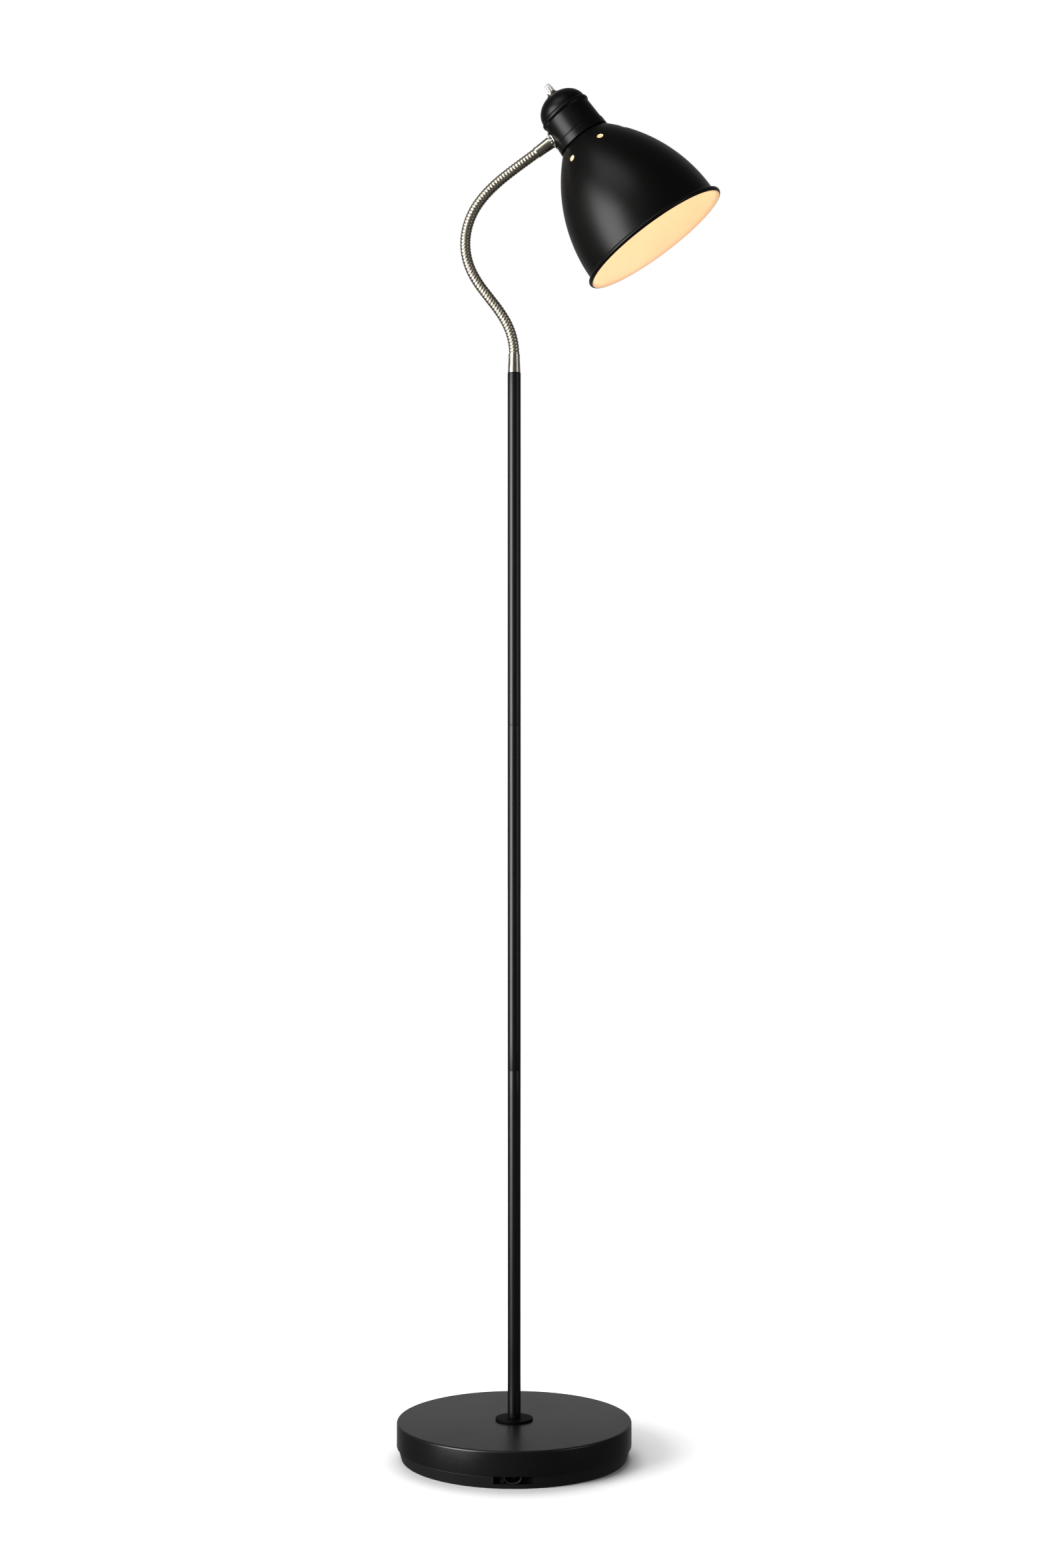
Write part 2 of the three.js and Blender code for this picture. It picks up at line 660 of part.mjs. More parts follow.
add(headCentre, 'holder_ring', turned([
  [holderBore, plateLow - gap],
  [ringRadius, plateLow - gap],
  [ringRadius, plateLow - gap - 2],
  [ringRadius - 1.5, plateLow - gap - ringHeight],
  [holderBore, plateLow - gap - ringHeight],
  [holderBore, plateLow - gap],
], 28), finish.porcelain);

add(headCentre, 'bulb_cap', turned([
  [0, glassLow + gap],
  [capRadius, glassLow + gap],
  [capRadius, capTop - 5],
  [capRadius / 3, capTop],
  [0, capTop],
], 28), finish.steel);
const bulbTip = capTop - bulbLength;
const bulbCentre = bulbTip + bulbRadius;
const bulbNeckRadius = capRadius - 0.6;
const bulbCheek = 38; // degrees round from the bulb's widest part to where it turns in to the neck
const bulbOutline = (radius, neckRadiusHere) => [
  ...arc(0, bulbCentre, radius, radius, -90, bulbCheek, 8),
  [neckRadiusHere + 4, glassLow - 14],
  [neckRadiusHere, glassLow],
];
add(headCentre, 'bulb_glass', turned([
  ...bulbOutline(bulbRadius, bulbNeckRadius),
  ...bulbOutline(bulbRadius - bulbWall, bulbNeckRadius - bulbWall).reverse(),
], 22), finish.frosted);

export default lamp;
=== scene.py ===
import math

import bpy
import numpy as np
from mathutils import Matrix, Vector


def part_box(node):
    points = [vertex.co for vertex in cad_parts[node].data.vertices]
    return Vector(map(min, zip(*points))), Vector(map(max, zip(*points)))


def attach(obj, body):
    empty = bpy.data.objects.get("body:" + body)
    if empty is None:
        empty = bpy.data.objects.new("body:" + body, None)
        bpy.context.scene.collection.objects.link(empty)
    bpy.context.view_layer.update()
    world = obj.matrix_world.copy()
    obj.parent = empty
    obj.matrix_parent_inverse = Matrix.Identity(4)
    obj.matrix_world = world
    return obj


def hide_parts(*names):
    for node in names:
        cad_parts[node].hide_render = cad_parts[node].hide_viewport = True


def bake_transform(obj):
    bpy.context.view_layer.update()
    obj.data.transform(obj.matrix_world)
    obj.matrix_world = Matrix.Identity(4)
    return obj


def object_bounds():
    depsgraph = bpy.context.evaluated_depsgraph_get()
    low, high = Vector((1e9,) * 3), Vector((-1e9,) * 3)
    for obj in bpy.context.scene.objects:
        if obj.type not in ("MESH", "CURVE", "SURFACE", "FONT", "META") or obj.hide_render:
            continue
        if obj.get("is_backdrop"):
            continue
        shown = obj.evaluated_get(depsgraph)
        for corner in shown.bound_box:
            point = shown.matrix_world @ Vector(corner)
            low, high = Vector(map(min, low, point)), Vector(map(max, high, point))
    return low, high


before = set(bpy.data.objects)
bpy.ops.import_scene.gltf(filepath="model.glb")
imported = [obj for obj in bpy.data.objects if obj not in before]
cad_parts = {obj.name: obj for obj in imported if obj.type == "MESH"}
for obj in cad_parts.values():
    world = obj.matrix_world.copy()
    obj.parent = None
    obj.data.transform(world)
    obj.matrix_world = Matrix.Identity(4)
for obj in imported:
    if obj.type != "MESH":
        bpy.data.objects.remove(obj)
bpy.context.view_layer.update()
scene = bpy.context.scene
mm = 0.001
fullTurn = 2 * math.pi

# camera
cameraSet = {"place": (0.2932, -2.5875, 0.717), "turn": 6.27, "lens": 56.1, "sensor": 36}
camera = bpy.data.objects.new("camera", bpy.data.cameras.new("camera"))
camera.location = cameraSet["place"]
camera.rotation_euler = (math.pi / 2, 0, math.radians(cameraSet["turn"]))
camera.data.lens = cameraSet["lens"]
camera.data.sensor_width = cameraSet["sensor"]
camera.data.clip_end = 100
scene.collection.objects.link(camera)
scene.camera = camera
print("camera placed")


def gridFaces(rows, columns, closeRows=False, closeColumns=True, start=0):
    # cell (i, j) joins the points (i, j), (i, j+1), (i+1, j+1), (i+1, j) of a grid stored row by row
    i = np.arange(rows if closeRows else rows - 1)[:, None]
    j = np.arange(columns if closeColumns else columns - 1)[None, :]
    nextRow, nextColumn = (i + 1) % rows, (j + 1) % columns
    cells = [i * columns + j, i * columns + nextColumn, nextRow * columns + nextColumn, nextRow * columns + j]
    return np.stack(np.broadcast_arrays(*cells), -1).reshape(-1, 4) + start


def welded(points, quads, groups):
    # points that coincide become one, a cell with one short side becomes a triangle, a flat one goes
    _, first, place = np.unique(np.round(points * 1e7).astype(np.int64), axis=0,
                                return_index=True, return_inverse=True)
    quads = place.reshape(-1)[quads]
    same = quads == np.roll(quads, -1, axis=1)
    crossed = (quads[:, 0] == quads[:, 2]) | (quads[:, 1] == quads[:, 3])
    whole = (same.sum(1) == 0) & ~crossed
    faces, kinds = [quads[whole]], [groups[whole]]
    for k in range(4):
        short = same[:, k] & (same.sum(1) == 1) & ~crossed
        faces.append(np.delete(quads[short], k, axis=1))
        kinds.append(groups[short])
    return points[first], faces, np.concatenate(kinds)


def volumeOf(points, faces):
    # six times the signed volume: the sum of a . (b x c) over every fan triangle
    total = 0.0
    for block in faces:
        for k in range(1, block.shape[1] - 1):
            a, b, c = points[block[:, 0]], points[block[:, k]], points[block[:, k + 1]]
            total += np.einsum("ij,ij->i", a, np.cross(b, c)).sum()
    return total


def makePiece(name, points, quads, materials, body, stands, groups=None, sharp=35):
    # points in metres, where the piece stands; with body None the piece rides on no body
    groups = np.zeros(len(quads), int) if groups is None else groups
    points, faces, kinds = welded(points, quads, groups)
    if volumeOf(points, faces) < 0:
        faces = [block[:, ::-1] for block in faces]
    mesh = bpy.data.meshes.new(name)
    mesh.from_pydata(points.tolist(), [], [f for block in faces for f in block.tolist()])
    for material in materials:
        mesh.materials.append(material)
    mesh.polygons.foreach_set("material_index", kinds.astype(np.int32))
    mesh.polygons.foreach_set("use_smooth", np.ones(len(mesh.polygons), bool))
    mesh.set_sharp_from_angle(angle=math.radians(sharp))
    mesh.update()
    thing = bpy.data.objects.new(name, mesh)
    scene.collection.objects.link(thing)
    if body:
        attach(thing, body)
    if stands:
        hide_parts(*stands)
    return thing


def rounded(corners, steps=5):
    # a closed outline of (r, z, fillet): each corner becomes an arc that touches both its sides
    flat = np.array([corner[:2] for corner in corners], float)
    outline = []
    for k, corner in enumerate(corners):
        fillet = corner[2] if len(corner) > 2 else 0
        if not fillet:
            outline.append(flat[k])
            continue
        before, after = flat[k - 1] - flat[k], flat[(k + 1) % len(flat)] - flat[k]
        before, after = before / np.linalg.norm(before), after / np.linalg.norm(after)
        half = math.acos(np.clip(before @ after, -1, 1)) / 2
        middle = (before + after) / np.linalg.norm(before + after)
        centre = flat[k] + middle * fillet / math.sin(half)
        first, last = flat[k] + before * fillet / math.tan(half) - centre, \
            flat[k] + after * fillet / math.tan(half) - centre
        sweep = math.acos(np.clip(first @ last / fillet ** 2, -1, 1))
        for share in np.linspace(0, 1, steps + 1):
            outline.append(centre + (math.sin((1 - share) * sweep) * first
                                     + math.sin(share * sweep) * last) / math.sin(sweep))
    return np.array(outline)


def spaced(outline, step):
    # the same closed outline with no side longer than step
    longer = []
    for point, after in zip(outline, np.roll(outline, -1, axis=0)):
        count = max(1, math.ceil(np.linalg.norm(after - point) / step - 1e-9))
        longer.extend(point + (after - point) * k / count for k in range(count))
    return np.array(longer)


def roundPoints(radius, angle, height):
    # (r cos a, r sin a, z)
    return np.stack([radius * np.cos(angle), radius * np.sin(angle), height], -1)


def turnedGrid(outline, sides, wave=None):
    # point(i, j) = (r_i cos a_j, r_i sin a_j, z_i) with a_j = 2 pi j / sides; wave scales r_i
    angle = fullTurn * np.arange(sides) / sides
    radius = outline[:, :1] * (np.ones((1, sides)) if wave is None else wave(angle))
    return roundPoints(radius, angle, np.repeat(outline[:, 1:2], sides, axis=1))


def placed(points, stand):
    # origin + x ex + y ey + z ez, from millimetres to metres
    origin, axes = stand
    return (np.asarray(origin) + points.reshape(-1, 3) @ np.asarray(axes)) * mm


def turnedPiece(name, outline, sides, stand, materials, body, stands, wave=None, sharp=35,
                closed=True, groups=None):
    outline = np.asarray(outline, float)
    points = turnedGrid(outline, sides, wave)
    quads = gridFaces(len(outline), sides, closeRows=closed)
    if groups is not None:
        groups = np.repeat(groups, sides)
    return makePiece(name, placed(points, stand), quads, materials, body, stands, groups, sharp)


def onTurned(outline, row, column, sides):
    # the turned surface at any fractional row and column
    row = np.asarray(row, float)
    whole = np.arange(len(outline))
    radius, height = np.interp(row, whole, outline[:, 0]), np.interp(row, whole, outline[:, 1])
    return roundPoints(radius, fullTurn * (np.asarray(column, float) % sides) / sides, height)


def rowNear(outline, radius, height):
    return int(np.argmin(np.hypot(outline[:, 0] - radius, outline[:, 1] - height)))


def ripple(angle, count):
    # rises from 0 to 1 and falls back, count times in a turn
    return 0.5 - 0.5 * np.cos(count * angle)


def punchedPiece(name, outline, sides, holes, stand, materials, body, stands, rowGroup, wallGroup,
                 sharp=35):
    # a turned wall with round holes: a square of cells round each hole gives way to rings that run
    # from the hole's circle to the square, and the two circles are joined through the wall
    outline = np.asarray(outline, float)
    rows = len(outline)
    grid = onTurned(outline, *np.meshgrid(np.arange(rows), np.arange(sides), indexing="ij"), sides)
    quads = gridFaces(rows, sides, closeRows=True)
    groups = np.repeat(rowGroup, sides)
    keep = np.ones((rows, sides), bool)
    pools, cells, kinds, start = [grid.reshape(-1, 3)], [], [], rows * sides
    for hole in holes:
        h, ease = hole["half"], hole["edge"]
        side = np.arange(-h, h)
        squareRow = np.concatenate([np.full(2 * h, -h), side, np.full(2 * h, h), -side])
        squareColumn = np.concatenate([side, np.full(2 * h, h), -side, np.full(2 * h, -h)])
        rings = []
        for row, flow in ((hole["outer"], 1), (hole["inner"], -1)):
            rowStep = np.linalg.norm(outline[(row + 1) % rows] - outline[row - 1]) / 2
            radius = outline[row, 0]
            columnStep = radius * fullTurn / sides
            turn = np.arctan2(squareColumn * columnStep, squareRow * rowStep)

            def circle(size):
                across = np.arcsin(np.clip(size * np.sin(turn) / radius, -1, 1)) * sides / fullTurn
                return size * np.cos(turn) / rowStep, across

            innerRow, innerColumn = circle(hole["radius"] + ease)
            block = []
            for share in (0, 0.3, 0.65, 1):
                block.append(onTurned(outline, row + flow * (innerRow + (squareRow - innerRow) * share),
                                      hole["column"] + innerColumn + (squareColumn - innerColumn) * share,
                                      sides))
            tightRow, tightColumn = circle(hole["radius"])
            rings.append((block, onTurned(outline, row + flow * tightRow, hole["column"] + tightColumn, sides)))
            cellRows = (row + np.arange(-h, h)) % rows
            cellColumns = (hole["column"] + np.arange(-h, h)) % sides
            keep[np.ix_(cellRows, cellColumns)] = False
            pools.append(np.concatenate(block))
            cells.append(gridFaces(4, 8 * h, start=start))
            kinds.append(np.full(len(cells[-1]), rowGroup[row]))
            start += 4 * 8 * h
        (outerBlock, outerTight), (innerBlock, innerTight) = rings
        part = ease / max(np.linalg.norm(outerTight[0] - innerTight[0]), 1e-6)
        wall = [outerBlock[0], outerTight + (innerTight - outerTight) * part,
                innerTight + (outerTight - innerTight) * part, innerBlock[0]]
        pools.append(np.concatenate(wall))
        cells.append(gridFaces(4, 8 * h, start=start))
        kinds.append(np.full(len(cells[-1]), wallGroup))
        start += 4 * 8 * h
        # the patches of the two sides and the wall between them face the same way round
        cells[-3] = cells[-3][:, ::-1]
    quads, groups = quads[keep.reshape(-1)], groups[keep.reshape(-1)]
    quads = np.concatenate([quads] + cells)
    groups = np.concatenate([groups] + kinds)
    points = placed(np.concatenate(pools), stand)
    return makePiece(name, points, quads, materials, body, stands, groups, sharp)


class Wire:
    # an output that takes part in a sum as a number would
    def __init__(self, finish, socket):
        self.finish, self.socket = finish, socket

    def maths(self, operation, first, second):
        return self.finish.node("ShaderNodeMath", {"operation": operation}, {0: first, 1: second})

    def __add__(self, other):
        return self.maths("ADD", self, other)

    def __sub__(self, other):
        return self.maths("SUBTRACT", self, other)

    def __rsub__(self, other):
        return self.maths("SUBTRACT", other, self)

    def __mul__(self, other):
        return self.maths("MULTIPLY", self, other)

    __radd__ = __add__
    __rmul__ = __mul__


class Finish:
    # a material or the world; node() makes any node from its type, its settings and its inputs
    def __init__(self, name, kind="materials"):
        self.material = getattr(bpy.data, kind).new(name)
        self.material.use_nodes = True
        self.tree = self.material.node_tree
        self.tree.nodes.clear()

    def node(self, kind, settings, inputs, output=0):
        made = self.tree.nodes.new(kind)
        for key, value in settings.items():
            if key == "stops":
                ramp = made.color_ramp
                while len(ramp.elements) < len(value):
                    ramp.elements.new(1)
                for element, (place, colour) in zip(ramp.elements, value):
                    element.position, element.color = place, (*colour, 1)
            else:
                setattr(made, key, value)
        for key, value in inputs.items():
            if isinstance(value, Wire):
                self.tree.links.new(value.socket, made.inputs[key])
            else:
                made.inputs[key].default_value = value
        return Wire(self, made.outputs[output]) if len(made.outputs) else None

    def where(self):
        return self.node("ShaderNodeTexCoord", {}, {}, "Object")

    def noise(self, scale, detail=2, rough=0.5, stretch=(1, 1, 1)):
        at = self.node("ShaderNodeMapping", {}, {"Vector": self.where(), "Scale": stretch})
        return self.node("ShaderNodeTexNoise", {}, {"Vector": at, "Scale": scale, "Detail": detail,
                                                    "Roughness": rough}, "Fac")

    def ramp(self, value, stops):
        return self.node("ShaderNodeValToRGB", {"stops": stops}, {"Fac": value})

    def spread(self, value, low, high, fromLow=0.3, fromHigh=0.7):
        return self.node("ShaderNodeMapRange", {}, {"Value": value, "From Min": fromLow, "From Max": fromHigh,
                                                    "To Min": low, "To Max": high})

    def mixed(self, share, first, second):
        return self.node("ShaderNodeMix", {"data_type": "RGBA"}, {0: share, 6: (*first, 1), 7: (*second, 1)}, 2)

    def along(self, origin, direction):
        # distance from origin along direction: (p - origin) . direction
        apart = self.node("ShaderNodeVectorMath", {"operation": "SUBTRACT"}, {0: self.where(), 1: origin})
        return self.node("ShaderNodeVectorMath", {"operation": "DOT_PRODUCT"}, {0: apart, 1: direction}, 1)

    def bump(self, height, distance, strength=1.0):
        return self.node("ShaderNodeBump", {}, {"Height": height, "Distance": distance, "Strength": strength})

    def surface(self, **inputs):
        inputs = {key.replace("_", " "): value for key, value in inputs.items()}
        inputs = {key: (*value, 1) if isinstance(value, tuple) and len(value) == 3 else value
                  for key, value in inputs.items()}
        shader = self.node("ShaderNodeBsdfPrincipled", {}, inputs)
        self.node("ShaderNodeOutputMaterial", {}, {"Surface": shader})
        return self.material


def powderCoat(name, dark, light, rough, grain=1500, height=0.00002, gloss=0.5):
    # two tones drift over a hand's width; a fine orange-peel grain carries the bump and the roughness
    f = Finish(name)
    drift, peel = f.noise(14, 3), f.noise(grain, 3, 0.6)
    dust = f.noise(420, 4, 0.65)
    tone = f.mixed(f.spread(drift * 0.6 + dust * 0.4, 0, 1), dark, light)
    return f.surface(Base_Color=tone, Roughness=f.spread(peel * 0.5 + drift * 0.5, rough - 0.05, rough + 0.05),
                     Specular_IOR_Level=gloss, Normal=f.bump(peel, height))


def turnedMetal(name, dark, light, rough, lines=2600, direction=(0, 0, 1), height=0.000006):
    # fine turning lines square to direction, and a soft cloudy stain in the plating
    f = Finish(name)
    cloud = f.noise(60, 3)
    stretch = tuple(1 if abs(d) > 0.5 else 0.02 for d in direction)
    line = f.noise(lines, 2, 0.6, stretch)
    tone = f.mixed(f.spread(cloud * 0.5 + line * 0.5, 0, 1), dark, light)
    return f.surface(Base_Color=tone, Metallic=1.0, Roughness=f.spread(line * 0.6 + cloud * 0.4, rough - 0.06,
                     rough + 0.06), Normal=f.bump(line, height))


def castCement(name):
    # rough cast block, coloured near black all over
    f = Finish(name)
    grain, pits = f.noise(300, 6, 0.7), f.noise(90, 4, 0.6)
    tone = f.ramp(grain * 0.6 + pits * 0.4, [(0.3, (0.004, 0.004, 0.004)), (0.55, (0.009, 0.009, 0.009)),
                                             (0.75, (0.016, 0.016, 0.015))])
    return f.surface(Base_Color=tone, Roughness=f.spread(grain, 0.8, 0.98), Normal=f.bump(grain + pits, 0.0004))


def foamSheet(name):
    # closed cells: a Voronoi distance makes small dimples
    f = Finish(name)
    cells = f.node("ShaderNodeTexVoronoi", {"feature": "F1"}, {"Vector": f.where(), "Scale": 1100}, "Distance")
    tone = f.mixed(f.spread(f.noise(40), 0, 1), (0.012, 0.012, 0.012), (0.03, 0.03, 0.03))
    return f.surface(Base_Color=tone, Roughness=f.spread(cells, 0.85, 0.98, 0, 0.6),
                     Normal=f.bump(cells, 0.0002))


def glazed(name, dark, light, rough):
    f = Finish(name)
    cloud, fine = f.noise(50, 3), f.noise(900, 3)
    return f.surface(Base_Color=f.mixed(f.spread(cloud, 0, 1), dark, light),
                     Roughness=f.spread(fine * 0.5 + cloud * 0.5, rough - 0.05, rough + 0.08),
                     Coat_Weight=f.spread(cloud, 0.3, 0.5), Normal=f.bump(fine, 0.00001))


# the neck's line comes before the finishes, because two of them follow the head's axis
neck = {"link": 20, "lean": (0, -16, -31, -38, -37, -27, -11, 6, 22, 37, 47, 53, 55, 55),
        "radius": 5.55, "ridge": 0.8, "pitch": 3.46, "bore": 3.4, "perTurn": 14, "sides": 44,
        "reach": 49.586, "endGap": 0.15}
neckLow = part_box("neck_ferrule_lower")[1].z / mm


def neckAt(along):
    # the neck's centreline is one arc for each link: heading turns evenly from one lean to the next
    lean = np.radians(neck["lean"])
    link = neck["link"]
    corners = [np.array([0.0, neckLow])]
    for a, b in zip(lean[:-1], lean[1:]):
        bend = (b - a) / link
        if abs(bend) < 1e-9:
            step = link * np.array([math.sin(a), math.cos(a)])
        else:
            step = np.array([math.cos(a) - math.cos(b), math.sin(b) - math.sin(a)]) / bend
        corners.append(corners[-1] + step)
    corners = np.array(corners)
    along = np.asarray(along, float)
    k = np.clip((along // link).astype(int), 0, len(lean) - 2)
    part = along - k * link
    bend = (lean[k + 1] - lean[k]) / link
    heading = lean[k] + bend * part
    curved = np.abs(bend) > 1e-9
    safe = np.where(curved, bend, 1)
    x = np.where(curved, (np.cos(lean[k]) - np.cos(heading)) / safe, part * np.sin(heading))
    z = np.where(curved, (np.sin(heading) - np.sin(lean[k])) / safe, part * np.cos(heading))
    return corners[k, 0] + x, corners[k, 1] + z, heading


neckLength = neck["link"] * (len(neck["lean"]) - 1)
# the head's own frame: the neck's line meets the cup's axis at headOrigin
endX, endZ, endLean = (float(value) for value in neckAt(neckLength))
headX = np.array([math.sin(endLean), 0, math.cos(endLean)])
headY = np.array([0.0, 1, 0])
headZ = np.cross(headX, headY)
headOrigin = np.array([endX, 0, endZ]) + neck["reach"] * headX
upright = ((0, 0, 0), np.eye(3))
headStand = (headOrigin, np.array([headX, headY, headZ]))
towardNeck = np.array([headZ, headY, -headX])  # a piece that stands on +Z points at the neck


def shadeWhitePaintedGlow(name, glow, lift):
    # white enamel with a painted glow: an emission on the enamel itself that fades and warms from the
    # lampholder to the rim
    f = Finish(name)
    depth = f.along(tuple(headOrigin * mm), tuple(headZ))
    cloud, peel = f.noise(25, 2), f.noise(1300, 2)
    paintedGlowTone = f.ramp(f.spread(depth, 0, 1, -0.151, -0.02) + (cloud - 0.5) * 0.12, glow)
    return f.surface(Base_Color=f.mixed(f.spread(cloud, 0, 1), (0.5, 0.47, 0.42), (0.58, 0.55, 0.5)),
                     Roughness=f.spread(peel, 0.38, 0.5), Emission_Color=paintedGlowTone, Emission_Strength=lift,
                     Normal=f.bump(peel, 0.00002))


def litGlass(name, strength):
    f = Finish(name)
    depth = f.along(tuple(headOrigin * mm), tuple(headZ))
    tone = f.ramp(f.spread(depth, 0, 1, -0.112, -0.035) + (f.noise(60) - 0.5) * 0.1,
                  [(0.0, (1.0, 0.78, 0.5)), (0.6, (1.0, 0.86, 0.62)), (1.0, (1.0, 0.7, 0.42))])
    return f.surface(Base_Color=tone, Roughness=f.spread(f.noise(700), 0.3, 0.45), Emission_Color=tone,
                     Emission_Strength=strength)


def clearAcrylic(name):
    f = Finish(name)
    haze, streak = f.noise(300, 3), f.noise(1200, 2)
    return f.surface(Base_Color=f.mixed(f.spread(haze, 0, 1), (0.72, 0.73, 0.72), (0.95, 0.95, 0.93)),
                     Roughness=f.spread(streak, 0.18, 0.34), Transmission_Weight=0.45, IOR=1.49,
                     Normal=f.bump(streak, 0.00001))


cupPaint = powderCoat("blackCupEnamel", (0.0009, 0.0009, 0.0008), (0.002, 0.0019, 0.0017), 0.35, gloss=0.21)
polePaint = powderCoat("blackPowderCoat", (0.0016, 0.0016, 0.0015), (0.0034, 0.0033, 0.003), 0.31, gloss=0.4)
flangePaint = powderCoat("blackFlangePaint", (0.001, 0.001, 0.0009), (0.0022, 0.0021, 0.0019), 0.55,
                         gloss=0.05)
shadePaint = powderCoat("blackShadeEnamel", (0.0009, 0.0008, 0.0007), (0.002, 0.0018, 0.0015), 0.36,
                        gloss=0.22)
basePaint = powderCoat("blackBasePaint", (0.002, 0.002, 0.0019), (0.0042, 0.0041, 0.0038), 0.31,
                       1100, 0.00003, 0.46)
footPlastic = powderCoat("blackFootPlastic", (0.004, 0.004, 0.004), (0.008, 0.008, 0.008), 0.48, 700, 0.00005)
satinNickel = turnedMetal("satinNickel", (0.5, 0.455, 0.37), (0.66, 0.62, 0.54), 0.26)
coilNickel = turnedMetal("coilNickel", (0.46, 0.41, 0.32), (0.6, 0.56, 0.46), 0.31, 1500, (1, 1, 1))
brightNickel = turnedMetal("brightNickel", (0.66, 0.63, 0.57), (0.8, 0.78, 0.73), 0.2)
darkGold = turnedMetal("darkGold", (0.3, 0.23, 0.11), (0.45, 0.36, 0.19), 0.32)
turnedBrass = turnedMetal("turnedBrass", (0.5, 0.34, 0.12), (0.7, 0.5, 0.22), 0.28)
zincSteel = turnedMetal("zincSteel", (0.42, 0.43, 0.44), (0.6, 0.61, 0.62), 0.32)
capMetal = turnedMetal("capAluminium", (0.6, 0.6, 0.6), (0.78, 0.78, 0.77), 0.3)
cement = castCement("castCement")
foam = foamSheet("footFoam")
sheath = powderCoat("leadSheath", (0.01, 0.01, 0.01), (0.02, 0.02, 0.02), 0.5, 500, 0.00004)
porcelain = glazed("porcelain", (0.72, 0.68, 0.6), (0.84, 0.81, 0.75), 0.25)
# the enamel's painted glow: emission colours from the lampholder to the rim, and the emission strength
enamelPaintedGlowSet = {"glow": [(0.0, (1.0, 0.58, 0.3)), (0.35, (1.0, 0.58, 0.29)), (0.8, (1.0, 0.62, 0.34)),
                      (1.0, (1.0, 0.72, 0.44))], "lift": 0.76}
whiteEnamelPaintedGlow = shadeWhitePaintedGlow("whiteEnamelPaintedGlow", enamelPaintedGlowSet["glow"], enamelPaintedGlowSet["lift"])
frostedGlass = litGlass("frostedGlass", 1.2)
clearKnob = clearAcrylic("clearAcrylic")
print("finishes made")

# CAD nodes that stay, with their better finishes
stayFinish = (
    (cement, ["base_weight"]), (sheath, ["pole_lead"]), (footPlastic, ["switch_body"]),
    (zincSteel, ["base_lock_nut", "base_lock_washer", "base_nipple", "pole_coupler_lower", "pole_coupler_upper",
                 "neck_nipple_lower", "neck_nipple_upper", "neck_nut"]),
    (turnedBrass, ["pole_foot_bush", "pole_top_bush", "switch_stem", "lamp_holder_shell",
                   "lamp_holder_contact"]))
for finish, nodeName in ((finish, nodeName) for finish, names in stayFinish for nodeName in names):
    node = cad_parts[nodeName]
    if not node.material_slots:
        node.data.materials.append(finish)
    for slotPlace in node.material_slots:
        slotPlace.material = finish
print("kept nodes finished")

footSet = {"cover": 125, "wall": 1.2, "topEdge": 2.2, "lowEdge": 0.5, "step": 1.5, "taper": 3.5,
           "ringWall": 2.5, "floor": 2, "floorTop": 4.3, "low": 0.3, "sill": 4.8, "outletWidth": 39.5,
           "outletAngle": -84.2, "sides": 256, "round": 240, "across": 21}
coverBox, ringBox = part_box("base_cover"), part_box("base_foot_ring")
coverLow, coverTop = coverBox[0].z / mm, coverBox[1].z / mm
coverInner, coverUnder = footSet["cover"] - footSet["wall"], coverTop - footSet["wall"]
poleInset = 5.6  # bore round the nipple, under the flange
turnedPiece("baseCover", rounded([
    (coverInner, coverLow, 0.3), (footSet["cover"], coverLow, footSet["lowEdge"]),
    (footSet["cover"], coverTop, footSet["topEdge"]), (poleInset, coverTop), (poleInset, coverUnder),
    (coverInner, coverUnder, 1.5)], 8),
    footSet["sides"], upright, [basePaint], "stand", ["base_cover"])


def footRing():
    # the ring's outline goes round; between the outlet's two sides its upper part drops to the sill
    ringTop, ringLow, sill = ringBox[1].z / mm, footSet["low"], footSet["sill"]
    top, low = footSet["cover"] - footSet["step"], footSet["cover"] - footSet["step"] - footSet["taper"]
    inner, floorTop = low - footSet["ringWall"], footSet["floorTop"]
    full = spaced(rounded([(poleInset, floorTop - footSet["floor"]), (inner, floorTop - footSet["floor"]),
                           (inner, ringLow, 0.3), (low, ringLow, 0.8), (top, ringTop, 0.4),
                           (top - footSet["ringWall"], ringTop, 0.4), (inner, floorTop, 0.5),
                           (poleInset, floorTop)], 4), 1.2)
    full = full[(full[:, 0] > inner - 3) | (np.abs(full[:, 0] - poleInset) < 0.01)]
    cut = np.stack([full[:, 0], np.minimum(full[:, 1], sill)], -1)
    slope = (top - low) / (ringTop - ringLow)
    above = full[:, 1] > sill
    outside = full[:, 0] > low + (full[:, 1] - ringLow) * slope - footSet["ringWall"] / 2
    cut[above & outside, 0] = low + (sill - ringLow) * slope
    cut[above & ~outside, 0] = inner + (sill - floorTop) * 0.3
    half = footSet["outletWidth"] / 2
    centre = math.radians(footSet["outletAngle"])
    reach = math.asin(half / footSet["cover"])
    count, last = footSet["round"], footSet["round"] + footSet["across"] - 1
    angles = np.concatenate([np.linspace(reach, fullTurn - reach, count),
                             np.linspace(-reach, reach, footSet["across"])])
    columns = []
    for k, angle in enumerate(angles):
        outline = full if k < count else cut
        radius, turn = outline[:, 0], np.full(len(outline), angle)
        if k in (0, count - 1, count, last):  # the outlet's two upright sides are parallel
            side = half if k in (0, last) else -half
            edge = np.arcsin(np.clip(side / np.maximum(radius, half + 1), -1, 1))
            turn = np.where(radius > half + 20, edge, angle)
        columns.append(roundPoints(radius, centre + turn, outline[:, 1]))
    points = np.stack(columns, 1)
    quads = gridFaces(len(full), len(angles), closeRows=True)
    return makePiece("footRing", points.reshape(-1, 3) * mm, quads, [footPlastic], "stand",
                     ["base_foot_ring"], sharp=30)


footRing()

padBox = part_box("base_pad")
padRadius = padBox[1].x / mm
turnedPiece("footPad", rounded([(0, 0), (padRadius, 0, 0.5), (padRadius, padBox[1].z / mm, 0.5),
                                (0, padBox[1].z / mm)], 3),
            128, upright, [foam], "stand", ["base_pad"], closed=False)

